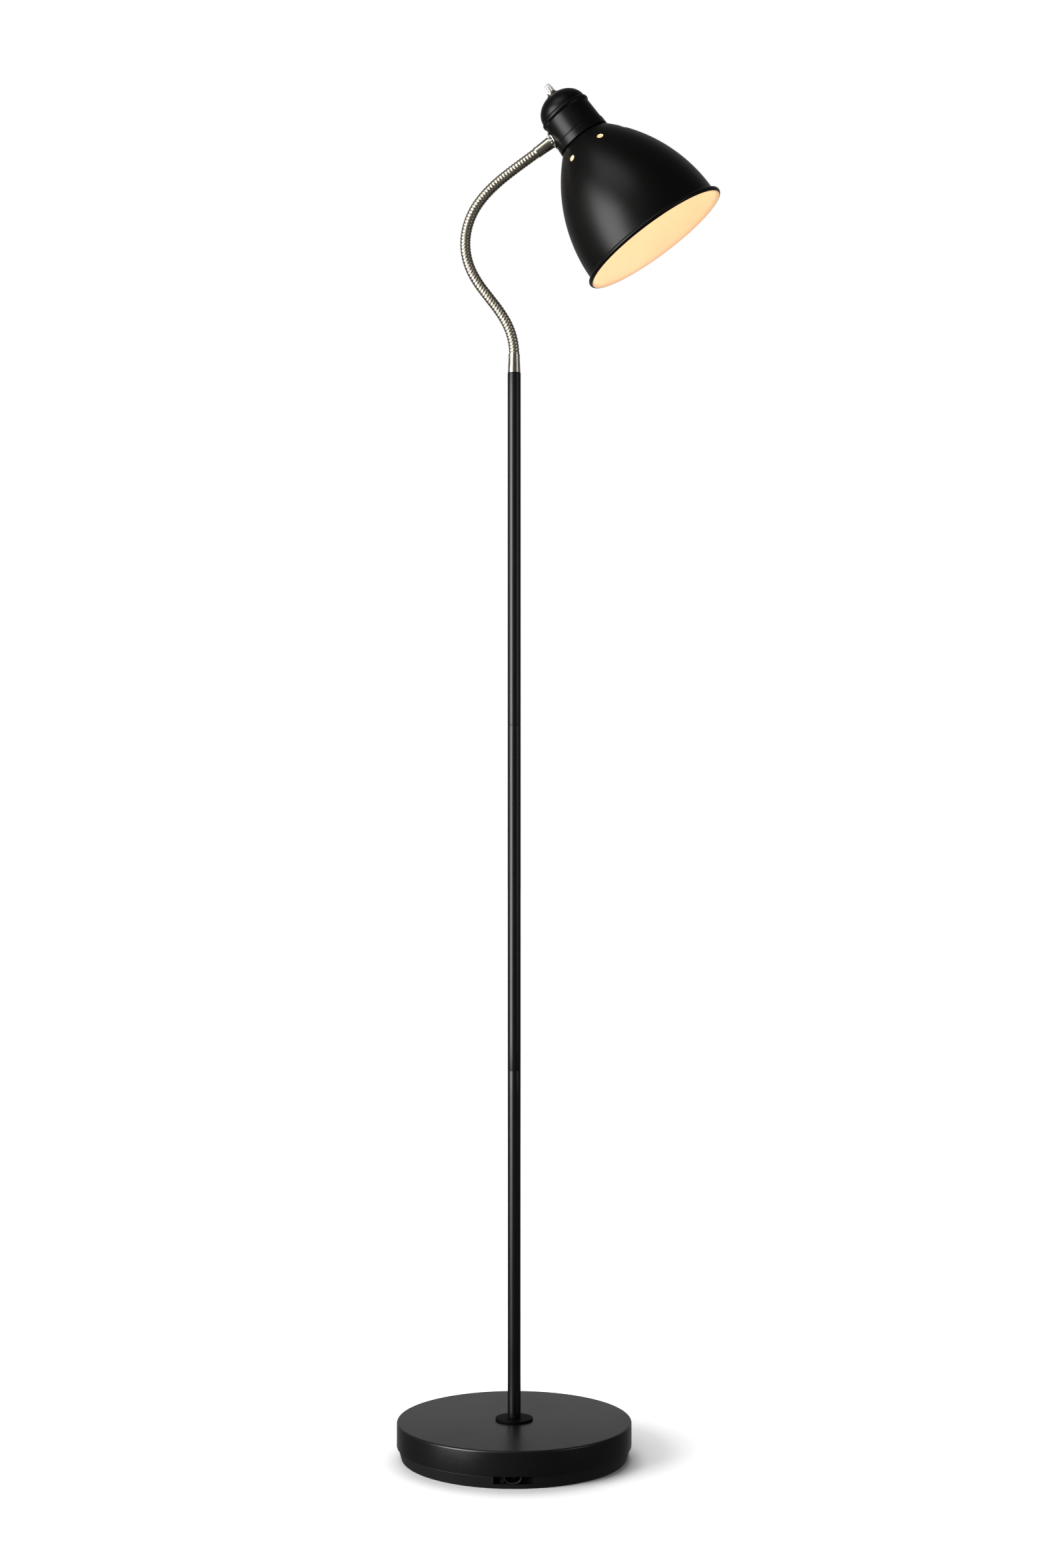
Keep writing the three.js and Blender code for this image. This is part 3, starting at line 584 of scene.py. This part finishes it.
bushingSet = {"width": 18.6, "wall": 1.3, "near": 113.5, "far": 121.5, "edge": 0.35, "top": 12.9, "low": 5.1,
              "fullness": 0.8, "steps": 49}


def bushing():
    # a strap of even wall follows a U, with turn t from -90 to 90 degrees: across = mid sin t and
    # height = top - drop cos(t) ^ fullness; at each point of it stands the same rounded cross-section
    wall, top, edge = bushingSet["wall"], bushingSet["top"], bushingSet["edge"]
    turn = np.linspace(-0.5, 0.5, bushingSet["steps"]) * math.pi
    pathX = (bushingSet["width"] / 2 - wall / 2) * np.sin(turn)
    pathZ = top - (top - bushingSet["low"] - wall / 2) * np.cos(turn) ** bushingSet["fullness"]
    tangent = np.stack([np.gradient(pathX), np.gradient(pathZ)], -1)
    tangent /= np.linalg.norm(tangent, axis=1, keepdims=True)
    near, far = bushingSet["near"], bushingSet["far"]
    out, thick = rounded([(near, -wall / 2, edge), (far, -wall / 2, edge), (far, wall / 2, edge),
                          (near, wall / 2, edge)], 3).T
    across = pathX[:, None] - tangent[:, 1:] * thick
    height = np.minimum(pathZ[:, None] + tangent[:, :1] * thick, top)
    rows = np.stack([np.broadcast_to(out, across.shape), across, height], -1)
    caps = [np.broadcast_to(rows[k].mean(0), rows[k].shape)[None] for k in (0, -1)]
    points = np.concatenate([caps[0], rows, caps[1]])
    centre = math.radians(footSet["outletAngle"])
    axes = np.array([[math.cos(centre), math.sin(centre), 0], [-math.sin(centre), math.cos(centre), 0],
                     [0, 0, 1]])
    return makePiece("cableBushing", placed(points, ((0, 0, 0), axes)), gridFaces(*points.shape[:2]),
                     [footPlastic], "stand", ["cable_bushing"])


bushing()
print("foot made")

poleSet = {"radius": 7, "inner": 6, "flange": 20, "edge": 0.35, "flangeEdge": 0.6, "sides": 96,
           "meet": 0.15}
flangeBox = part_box("pole_flange")
turnedPiece("poleFlange", rounded([
    (poleInset, flangeBox[0].z / mm), (poleSet["flange"], flangeBox[0].z / mm, 0.3),
    (poleSet["flange"], flangeBox[1].z / mm, poleSet["flangeEdge"]), (poleInset, flangeBox[1].z / mm)], 5),
    128, upright, [flangePaint], "stand", ["pole_flange"])
poleEnds = [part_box(f"pole_{part}") for part in ("lower", "middle", "upper")]
for k, part in enumerate(("lower", "middle", "upper")):
    # two sections meet half way across the gap between them, so a seam is a fine dark groove
    low, high = (corner.z / mm for corner in poleEnds[k])
    low = (low + poleEnds[k - 1][1].z / mm) / 2 if k else low
    high = (high + poleEnds[k + 1][0].z / mm) / 2 if k < 2 else high + poleSet["meet"]
    tube = rounded([(poleSet["inner"], low), (poleSet["radius"], low, poleSet["edge"]),
                    (poleSet["radius"], high, poleSet["edge"]), (poleSet["inner"], high)], 4)
    turnedPiece("pole" + part.title(), spaced(tube, 30), poleSet["sides"], upright, [polePaint], "stand",
                ["pole_" + part])
print("pole made")

ferruleSet = {"wide": 6.65, "taper": 0.6, "low": 5.2, "bore": 3.4, "inset": 3.8, "screw": 1.1, "hole": 1.4,
              "below": 0.14, "upperLength": 18.4, "angle": 63.75, "sides": 96}


def ferrule(name, length, turn, stand, body, nodeName):
    # a turned sleeve: wide end, taper, plain band with the screw's hole, rounded lip at the neck's end
    wide, bore, foot = ferruleSet["wide"], ferruleSet["bore"], -ferruleSet["below"]
    narrow = wide - ferruleSet["taper"]
    screwZ = length - ferruleSet["inset"]
    outline = rounded([(ferruleSet["low"], foot), (wide, foot, 0.3), (wide, 1), (narrow, screwZ - 2),
                       (narrow, screwZ), (narrow, length, 0.35), (bore, length), (bore, screwZ),
                       (bore, length / 2), (ferruleSet["low"], length / 2)], 4)
    outline = spaced(outline, 0.55)
    sides = ferruleSet["sides"]
    hole = {"outer": rowNear(outline, narrow, screwZ), "inner": rowNear(outline, bore, screwZ),
            "column": round((turn - 90) / 360 * sides) % sides, "radius": ferruleSet["hole"], "half": 5,
            "edge": 0.12}
    return punchedPiece(name, outline, sides, [hole], stand, [satinNickel], body, [nodeName],
                        np.zeros(len(outline), int), 0)


def grubScrew(name, length, turn, stand, body, nodeName):
    # a small turned plug with a round socket sunk in its outer end
    origin, axes = stand
    angle = math.radians(turn - 90)
    out = ferruleSet["wide"] - ferruleSet["taper"]
    ex, ey, ez = np.asarray(axes)
    outward = math.cos(angle) * ex + math.sin(angle) * ey
    aside = -math.sin(angle) * ex + math.cos(angle) * ey
    place = np.asarray(origin) + ez * (length - ferruleSet["inset"])
    screw, low = ferruleSet["screw"], ferruleSet["bore"] + 0.3
    outline = np.array([(0, low), (screw, low), (screw, out - 0.25),
                        (screw - 0.12, out), (screw - 0.3, out + 0.1), (0.62, out + 0.1), (0.55, out),
                        (0.52, out - 0.6), (0, out - 0.75)])
    return turnedPiece(name, outline, 24, (place, np.array([ez, -aside, outward])), [brightNickel], body,
                       [nodeName], closed=False)


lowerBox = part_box("neck_ferrule_lower")
lowerLength = (lowerBox[1].z - lowerBox[0].z) / mm
lowerStand = ((0, 0, lowerBox[0].z / mm), np.eye(3))
upperStand = (headOrigin - headX * (neck["reach"] - ferruleSet["upperLength"]), towardNeck)
for end, length, turn, stand, body in (
        ("lower", lowerLength, -ferruleSet["angle"], lowerStand, "stand"),
        ("upper", ferruleSet["upperLength"], ferruleSet["angle"], upperStand, "head")):
    ferrule("ferrule" + end.title(), length, turn, stand, body, "neck_ferrule_" + end)
    grubScrew("grubScrew" + end.title(), length, turn, stand, body, "neck_screw_" + end)
print("ferrules made")


def coilGrid(first, last):
    # the centreline point at s plus r(s, a) times (cos a N + sin a Y); r is a row of round wires wound
    # on a screw line: with u the part of a turn left over from s / pitch - a / 2 pi and b = |2u - 1|,
    # r = radius - ridge (1 - sqrt(1 - 0.97 b^2)); the bore comes back as a plain tube
    count = round((last - first) / neck["pitch"] * neck["perTurn"])
    outside = np.linspace(first, last, count + 1)
    inside = np.linspace(last, first, 9)
    along = np.concatenate([outside, inside])
    angle = fullTurn * np.arange(neck["sides"]) / neck["sides"]
    left = (along[:, None] / neck["pitch"] - angle / fullTurn) % 1
    b = np.abs(2 * left - 1)
    radius = neck["radius"] - neck["ridge"] * (1 - np.sqrt(1 - 0.97 * b ** 2))
    radius[len(outside):] = neck["bore"]
    x, z, heading = neckAt(along)
    out = np.stack([np.cos(heading), np.zeros_like(heading), -np.sin(heading)], -1)
    centre = np.stack([x, np.zeros_like(x), z], -1)
    return centre[:, None] + radius[..., None] * (np.cos(angle)[None, :, None] * out[:, None]
                                                  + np.sin(angle)[None, :, None] * headY)


def coilPiece(number, first, last, body, node):
    points = coilGrid(first, last)
    quads = gridFaces(points.shape[0], points.shape[1], closeRows=True)
    return makePiece(f"neckCoil_{number:02d}", points.reshape(-1, 3) * mm, quads, [coilNickel], body, [node],
                     sharp=60)


link, ease = neck["link"], 2
coilPiece(0, neck["endGap"], link / 2, "stand", "neck_link_01")
for k in range(1, 13):
    first, last = link * k - link / 2, link * k + link / 2
    coil = coilPiece(k, first, last, None, f"neck_link_{k + 1:02d}")
    (x0, x1), (z0, z1), _ = neckAt(np.array([first + ease, last - ease]))
    x0 * mm
    z0 * mm
    x1 * mm
    z1 * mm
    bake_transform(coil)
coilPiece(13, neckLength - link / 2, neckLength - neck["endGap"], "head", "neck_link_13")
print("neck made")

cupSet = {"low": -18.4, "lowRadius": 28.5, "highRadius": 27, "skirt": 32.1, "bead": 5.5, "beadOut": 1.3,
          "band": 8.6, "groove": 0.75, "wall": 1, "dome": 21, "bore": 3.9, "sideBore": 5.2, "sides": 192}
beadLow = cupSet["low"] + cupSet["skirt"]
domeLow = beadLow + cupSet["bead"]
domeRadius = cupSet["highRadius"] - 0.4
domeTop = domeLow + cupSet["dome"]


def cupRadiusAt(z):
    low, high = cupSet["lowRadius"], cupSet["highRadius"]
    return low + (high - low) * (z - cupSet["low"]) / cupSet["skirt"]


def arcPoints(centreR, centreZ, radiusR, radiusZ, start, end, steps):
    # an arc of an ellipse, between two angles in degrees
    turn = np.radians(np.linspace(start, end, steps + 1))
    return np.stack([centreR + radiusR * np.cos(turn), centreZ + radiusZ * np.sin(turn)], -1)


def cup():
    # outside from the lower edge up: band, groove, skirt, groove, bead, groove, dome; then back inside
    low, groove, wall = cupSet["low"], cupSet["groove"], cupSet["wall"]
    bandTop = low + cupSet["band"]
    outside = rounded([
        (cupSet["lowRadius"] - 6, low - 8), (cupSet["lowRadius"] + groove, low, 0.35),
        (cupRadiusAt(bandTop) + groove, bandTop - 0.5, 0.45), (cupRadiusAt(bandTop) - 0.35, bandTop + 0.1, 0.2),
        (cupRadiusAt(bandTop + 1.1), bandTop + 1.1, 0.4),
        (cupRadiusAt(0), 0), (cupRadiusAt(beadLow) - 0.05, beadLow - 0.35, 0.3), (0, beadLow)], 4)[1:-1]
    bead = arcPoints(cupSet["highRadius"] - 0.2, beadLow + cupSet["bead"] / 2, cupSet["beadOut"] + 0.2,
                     cupSet["bead"] / 2 - 0.25, -72, 72, 14)
    dome = arcPoints(0, domeLow + 0.2, domeRadius, cupSet["dome"] - 0.2, 0, 74, 26)
    top = np.array([(cupSet["bore"], domeTop)])
    back = arcPoints(0, domeLow, domeRadius - wall, cupSet["dome"] - wall, 74, 0, 16)
    inside = np.array([(cupRadiusAt(0) - wall - 0.3, 0), (cupSet["lowRadius"] - wall, low)])
    outline = spaced(np.concatenate([outside, bead, dome, top, top - (0, wall), back, inside]), 0.9)
    hole = {"outer": rowNear(outline, cupRadiusAt(0), 0), "inner": rowNear(outline, inside[0, 0], 0),
            "column": cupSet["sides"] // 2, "radius": cupSet["sideBore"], "half": 7, "edge": 0.15}
    return punchedPiece("cupShell", outline, cupSet["sides"], [hole], headStand, [cupPaint], "head", ["cup"],
                        np.zeros(len(outline), int), 0)


cup()

saddleSet = {"radius": 9.5, "thickness": 1.3, "gap": 0.3, "bore": 5.2, "washer": 7.4, "washerThickness": 1,
             "washerFace": 29.886, "lobes": 12, "lobeDepth": 0.13, "edge": 0.45, "sides": 96}


def saddle():
    # a disc wrapped on the cup: y = q cos a, z = q sin a, x = -sqrt((cup radius + depth)^2 - y^2)
    bore, radius, edge, sides = (saddleSet[key] for key in ("bore", "radius", "edge", "sides"))
    near, far = saddleSet["gap"], saddleSet["gap"] + saddleSet["thickness"]
    outline = spaced(rounded([(bore, near), (radius, near, edge), (radius, far, edge), (bore, far)], 5), 0.8)
    angle = fullTurn * np.arange(sides) / sides
    y, z = outline[:, :1] * np.cos(angle), outline[:, :1] * np.sin(angle)
    x = -np.sqrt((cupRadiusAt(z) + outline[:, 1:2]) ** 2 - y ** 2)
    points = np.stack([x, y, z], -1)
    return makePiece("saddlePlate", placed(points, headStand), gridFaces(len(outline), sides, closeRows=True),
                     [brightNickel], "head", ["neck_saddle"])


saddle()
face, thick = saddleSet["washerFace"], saddleSet["washerThickness"]
washerOutline = rounded([(saddleSet["bore"], face), (saddleSet["washer"], face, 0.25),
                         (saddleSet["washer"], face + thick, 0.25), (saddleSet["bore"], face + thick)], 3)
turnedPiece("toothedWasher", washerOutline, 192, (headOrigin, towardNeck), [brightNickel], "head",
            ["neck_washer"],
            wave=lambda a: 1 - saddleSet["lobeDepth"] * (washerOutline[:, :1] > 6)
            * ripple(a, saddleSet["lobes"])[None, :] ** 2)
print("cup made")

switchSet = {"seat": 6.2, "seatHeight": 0.6, "collar": 4.9, "collarHeight": 1.8, "knob": 4.9, "knobHeight": 9.2,
             "knobTaper": 0.2, "tip": 0.9, "flutes": 12, "fluteDepth": 0.13, "gap": 0.3, "stemBore": 2.3,
             "bore": 3.9}
seatLow = domeTop + switchSet["gap"]
collarLow = seatLow + switchSet["seatHeight"] + switchSet["gap"]
knobLow = collarLow + switchSet["collarHeight"] + switchSet["gap"]
for part, low, topEdge, finish, slotName in (("seat", seatLow, 0.25, darkGold, "brass"),
                                             ("collar", collarLow, 0.3, brightNickel, "satin_nickel")):
    bore, radius, high = switchSet["bore"], switchSet[part], low + switchSet[part + "Height"]
    turnedPiece("switch" + part.title(), rounded([(bore, low), (radius, low, 0.2), (radius, high, topEdge),
                                                  (bore, high)], 4), 96, headStand, [finish], "head",
                ["switch_" + part])


def knob():
    # radius(z) (1 - depth ripple ^ 0.8): flutes that fade out over the rounded tip
    base, height, bore, edge = (switchSet[key] for key in ("knob", "knobHeight", "stemBore", "tip"))
    stemTop, top = knobLow + height * 0.6 + switchSet["gap"], knobLow + height
    share = np.linspace(0, 1, 25)
    body = np.stack([base * (1 - switchSet["knobTaper"] * share ** 2), knobLow + share * (height - edge)], -1)
    tipRadius = body[-1, 0]
    tip = arcPoints(tipRadius - edge, top - edge, edge, edge, 0, 90, 6)[1:]
    outline = np.concatenate([[(0, stemTop), (bore, stemTop), (bore, knobLow), (base - 0.3, knobLow)],
                              body[1:], tip, [(tipRadius * 0.45, top), (0, top - 0.15)]])
    depth = np.where(outline[:, 0] > bore + 0.3, switchSet["fluteDepth"], 0)
    depth[-2:] = 0.02
    depth[-2 - len(tip):-2] *= np.linspace(0.95, 0.4, len(tip))
    return turnedPiece("switchKnob", outline, 288, headStand, [clearKnob], "knob", ["switch_knob"],
                       closed=False,
                       wave=lambda a: 1 - depth[:, None] * ripple(a, switchSet["flutes"]) ** 0.8)


knob()
print("switch made")

shadeSet = {"height": 132.9, "rise": 3.6, "topRadius": 23.472, "shoulder": 66.5, "shoulderAngle": 44,
            "skirt": 79, "skirtHeight": 10, "pull": 27, "wall": 0.9, "rim": 84, "tube": 2.6, "vents": 7,
            "ventRadius": 3.1, "ventDrop": 17.7, "ventTurn": -74, "plateBore": 19.872, "sides": 210,
            "ventRow": 18, "flare": ((0.35, 0.75), (-0.25, 1.45), (-0.65, 2.6), (-0.85, 4.2))}
mouth = cupSet["low"] - shadeSet["height"]
plateTop = cupSet["low"] + shadeSet["rise"]


def bezier(s, a, b, c, d):
    # the cubic (1-s)^3 a + 3 s (1-s)^2 b + 3 s^2 (1-s) c + s^3 d
    return (1 - s) ** 3 * a + 3 * s * (1 - s) ** 2 * b + 3 * s ** 2 * (1 - s) * c + s ** 3 * d


def bellAt(share):
    # a cubic Bezier from the shoulder under the cup to the upright skirt, and its outward normal
    slope = math.radians(shadeSet["shoulderAngle"])
    top = np.array([shadeSet["topRadius"], plateTop])
    low = np.array([shadeSet["skirt"], mouth + shadeSet["skirtHeight"]])
    handleTop = top + shadeSet["shoulder"] * np.array([math.cos(slope), -math.sin(slope)])
    handleLow = low + (0, shadeSet["pull"])
    s = np.asarray(share, float)[:, None]
    place = bezier(s, top, handleTop, handleLow, low)
    run = 3 * (1 - s) ** 2 * (handleTop - top) + 6 * s * (1 - s) * (handleLow - handleTop) \
        + 3 * s ** 2 * (low - handleLow)
    run /= np.linalg.norm(run, axis=1, keepdims=True)
    return place, np.stack([-run[:, 1], run[:, 0]], -1)


def shade():
    # one closed outline: plate, bell outside, rolled bead, bell inside, plate again
    wall, skirt, tube, ventRow = (shadeSet[key] for key in ("wall", "skirt", "tube", "ventRow"))
    dense = np.linspace(0, 1, 4001)
    ventShare = dense[np.argmin(np.abs(bellAt(dense)[0][:, 1] - (cupSet["low"] - shadeSet["ventDrop"])))]
    share = np.concatenate([np.linspace(0, ventShare, ventRow + 1), np.linspace(ventShare, 1, 84)[1:]])
    outside, normal = bellAt(share)
    rimCentre = np.array([shadeSet["rim"] - tube, mouth + tube])
    dropEnd = rimCentre[1] + tube * math.sin(math.radians(150)) + 0.5
    drop = np.stack([np.full(5, skirt), np.linspace(mouth + shadeSet["skirtHeight"], dropEnd, 6)[1:]], -1)
    bead = arcPoints(*rimCentre, tube, tube, 146, -118, 40)
    flare = np.array(shadeSet["flare"]) + (skirt, mouth)
    plate = [(shadeSet["plateBore"], plateTop - wall), (shadeSet["plateBore"], plateTop)]
    inner = (outside - normal * wall)[::-1]
    inner[-1, 1] = plateTop - wall
    outline = np.concatenate([plate, outside, drop, bead, flare, inner])
    # rows after the bead's lowest point are white, and carry the enamel's painted glow
    white = np.zeros(len(outline), int)
    white[len(plate) + len(outside) + len(drop) + 35:] = 1
    sides, vents = shadeSet["sides"], shadeSet["vents"]
    holes = [{"outer": len(plate) + ventRow, "inner": len(outline) - 1 - ventRow,
              "column": round((shadeSet["ventTurn"] / 360 + k / vents) * sides) % sides,
              "radius": shadeSet["ventRadius"], "half": 4, "edge": 0.12} for k in range(vents)]
    return punchedPiece("shadeBell", outline, sides, holes, headStand, [shadePaint, whiteEnamelPaintedGlow], "head",
                        ["shade"], white, 1, sharp=50)


shade()
print("shade made")

holderSet = {"radius": 19.572, "bore": 14.2, "mouthDrop": 17, "flange": 23.17, "flangeHeight": 3, "back": 17.4,
             "backHeight": 24, "gap": 0.3, "ring": 22.27, "ringStep": 2, "ringHeight": 4.5, "ribs": 40,
             "ribDepth": 0.012}
bulbSet = {"capGap": 3.6, "length": 106, "radius": 30, "neck": 12.5, "wall": 0.8, "shoulder": 38,
           "capRadius": 12.75, "thread": 0.35, "pitch": 3.62, "threadEnd": 5, "fade": 3, "sides": 96}
plateLow = plateTop - shadeSet["wall"]
flangeLow = plateTop + holderSet["gap"]
flangeTop = flangeLow + holderSet["flangeHeight"]
backTop = flangeTop + holderSet["backHeight"]
holderMouth = plateLow - holderSet["mouthDrop"]
glassLow = holderMouth + 2
capTop = glassLow + 25
socketTop = capTop + bulbSet["capGap"]
bulbTip = capTop - bulbSet["length"]
turnedPiece("lampHolder", rounded([
    (0, socketTop), (holderSet["bore"], socketTop, 0.5), (holderSet["bore"], holderMouth, 0.6),
    (holderSet["radius"], holderMouth, 1.2), (holderSet["radius"], flangeLow), (holderSet["flange"], flangeLow),
    (holderSet["flange"], flangeTop, 0.4), (holderSet["back"], flangeTop + 1, 0.5),
    (holderSet["back"], backTop, 1.5), (0, backTop)], 4), 96, headStand, [porcelain], "head",
    ["lamp_holder"], closed=False)
ringTop, ringBore = plateLow - holderSet["gap"], shadeSet["plateBore"]
ringLow = ringTop - holderSet["ringHeight"]
ringOutline = rounded([
    (ringBore, ringTop), (holderSet["ring"], ringTop, 0.2),
    (holderSet["ring"], ringTop - holderSet["ringStep"], 0.4), (holderSet["ring"] - 1.5, ringLow, 0.5),
    (ringBore, ringLow, 0.3)], 4)
turnedPiece("holderRing", ringOutline, 240, headStand, [porcelain], "head", ["holder_ring"],
            wave=lambda a: 1 - holderSet["ribDepth"] * ripple(a, holderSet["ribs"])[None, :]
            * (ringOutline[:, :1] > 21))


def screwCap():
    # cap radius - thread (1 - cos(2 pi z / pitch - a)) / 2: a rolled thread that fades out at both ends
    low, high, sides, fade = glassLow + 0.3, capTop, bulbSet["sides"], bulbSet["fade"]
    threadTop = high - bulbSet["threadEnd"]
    z = np.linspace(low, threadTop, 90)[:, None]
    angle = fullTurn * np.arange(sides) / sides
    depth = bulbSet["thread"] * np.clip((z - low) / fade, 0, 1) * np.clip((threadTop - z) / fade, 0, 1)
    radius = bulbSet["capRadius"] - depth * (1 - np.cos(fullTurn * z / bulbSet["pitch"] - angle)) / 2
    thread = roundPoints(radius, angle, np.repeat(z, sides, 1))
    tip = np.array([(9, high - 3.2), (4.4, high - 1.5), (4.2, high), (0, high)])
    points = np.concatenate([turnedGrid(np.array([(0, low)]), sides), thread, turnedGrid(tip, sides)])
    return makePiece("bulbCap", placed(points, headStand), gridFaces(len(points), sides), [capMetal], "head",
                     ["bulb_cap"])


screwCap()


def bulbGlass():
    # a globe that runs into its neck: sphere to 38 degrees above its widest part, then a smooth S
    size, wall = bulbSet["radius"], bulbSet["wall"]
    globe = arcPoints(0, bulbTip + size, size, size, -90, bulbSet["shoulder"], 40)
    start, end = globe[-1], np.array([bulbSet["neck"], glassLow])
    run = globe[-1] - globe[-2]
    run /= np.linalg.norm(run)
    reach = np.linalg.norm(end - start) * 0.42
    s = np.linspace(0, 1, 21)[1:, None]
    throat = bezier(s, start, start + run * reach, end - (0, reach), end)
    skin = np.concatenate([globe, throat])
    tangent = np.gradient(skin, axis=0)
    tangent /= np.linalg.norm(tangent, axis=1, keepdims=True)
    lining = skin - wall * np.stack([tangent[:, 1], -tangent[:, 0]], -1)
    lining[0] = (0, bulbTip + wall)
    lining[-1, 1] = glassLow
    return turnedPiece("bulbGlass", np.concatenate([skin, lining[::-1]]), bulbSet["sides"], headStand,
                       [frostedGlass], "head", ["bulb_glass"], closed=False, sharp=70)


bulbGlass()
print("lampholder and bulb made")

glowSet = {"power": 0.006, "colour": (1.0, 0.76, 0.48), "radius": 0.02, "below": 8}
glow = bpy.data.objects.new("bulbGlow", bpy.data.lights.new("bulbGlow", "POINT"))
glow.data.energy, glow.data.color = glowSet["power"], glowSet["colour"]
glow.data.shadow_soft_size = glowSet["radius"]
glow.location = Vector((headOrigin + headZ * (bulbTip - glowSet["below"])) * mm)
scene.collection.objects.link(glow)
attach(glow, "head")


def softBox(name, azimuth, height, distance, size, power, aim, colour=(1, 1, 1), turn=0):
    # a rectangle of light: azimuth is measured about Z from the camera's side, + to the camera's right
    at = math.radians(azimuth - 90 + cameraSet["turn"])
    lamp = bpy.data.objects.new(name, bpy.data.lights.new(name, "AREA"))
    lamp.data.shape, lamp.data.size, lamp.data.size_y = "RECTANGLE", size[0], size[1]
    lamp.data.energy, lamp.data.color = power, colour
    lamp.location = (distance * math.cos(at), distance * math.sin(at), height)
    lamp.rotation_euler = (Vector(aim) - lamp.location).to_track_quat("-Z", "Y").to_euler()
    scene.collection.objects.link(lamp)
    return lamp


softBox("keyBox", -56, 0.95, 2.3, (1.5, 2.1), 104, (0, 0, 0.9))
softBox("rimBox", 62, 1.2, 2.6, (1.1, 1.8), 9, (0, 0, 1.0))
softBox("highBox", -40, 2.9, 1.6, (1.6, 1.0), 12, (0, 0, 1.3))
floorBox = softBox("floorBox", 180, 2.2, 1.0, (1.5, 1.5), 30, (0, 0, 0))
floorBox.visible_glossy = False

floorSet = {"size": 14, "albedo": (0.86, 0.86, 0.86), "near": 0.0, "far": 1.05, "from": 0.115, "to": 0.5}


def paleFloor():
    f = Finish("paleFloor")
    cloud = f.noise(0.7, 2)
    tone = f.mixed(f.spread(cloud, 0, 1), (0.85, 0.85, 0.85), floorSet["albedo"])
    fromPole = f.node("ShaderNodeVectorMath", {"operation": "LENGTH"}, {0: f.where()}, 1)
    lift = f.spread(fromPole, floorSet["near"], floorSet["far"], floorSet["from"], floorSet["to"])
    return f.surface(Base_Color=tone, Roughness=0.9, Specular_IOR_Level=0.0, Emission_Color=(1, 1, 1),
                     Emission_Strength=lift)


side = np.linspace(-floorSet["size"], floorSet["size"], 3)
floorPoints = np.stack(np.meshgrid(side, side, [0.0], indexing="ij"), -1).reshape(-1, 3)
floorMesh = bpy.data.meshes.new("floor")
floorMesh.from_pydata(floorPoints.tolist(), [], gridFaces(3, 3, closeColumns=False)[:, ::-1].tolist())
floorMesh.materials.append(paleFloor())
floor = bpy.data.objects.new("floor", floorMesh)
scene.collection.objects.link(floor)
floor.visible_glossy = False
floor.visible_diffuse = False
floor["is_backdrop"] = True

worldSet = {"seen": 1.0, "around": 0.09, "behind": 0.34, "wide": 0.62, "narrow": 0.95,
            "level": 0.97, "up": 0.24}
# a pale wall behind the lamp: brightness follows the cosine to the direction away from the camera
turn = math.radians(cameraSet["turn"])
studio = Finish("studio", "worlds")
away = (-math.sin(turn) * worldSet["level"], math.cos(turn) * worldSet["level"], worldSet["up"])
toward = studio.node("ShaderNodeVectorMath", {"operation": "DOT_PRODUCT"},
                     {0: studio.node("ShaderNodeTexCoord", {}, {}, "Generated"), 1: away}, "Value")
rise = studio.node("ShaderNodeMapRange", {"interpolation_type": "SMOOTHSTEP"},
                   {"Value": toward, "From Min": worldSet["wide"], "From Max": worldSet["narrow"],
                    "To Min": worldSet["around"], "To Max": worldSet["behind"]})
unseen, seen = (studio.node("ShaderNodeBackground", {}, {"Color": (1, 1, 1, 1), "Strength": strength})
                for strength in (rise, worldSet["seen"]))
cameraRay = studio.node("ShaderNodeLightPath", {}, {}, "Is Camera Ray")
chosen = studio.node("ShaderNodeMixShader", {}, {0: cameraRay, 1: unseen, 2: seen})
studio.node("ShaderNodeOutputWorld", {}, {"Surface": chosen})
scene.world = studio.material
scene.view_settings.view_transform = "Standard"
print("lights and floor placed")

low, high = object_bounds()
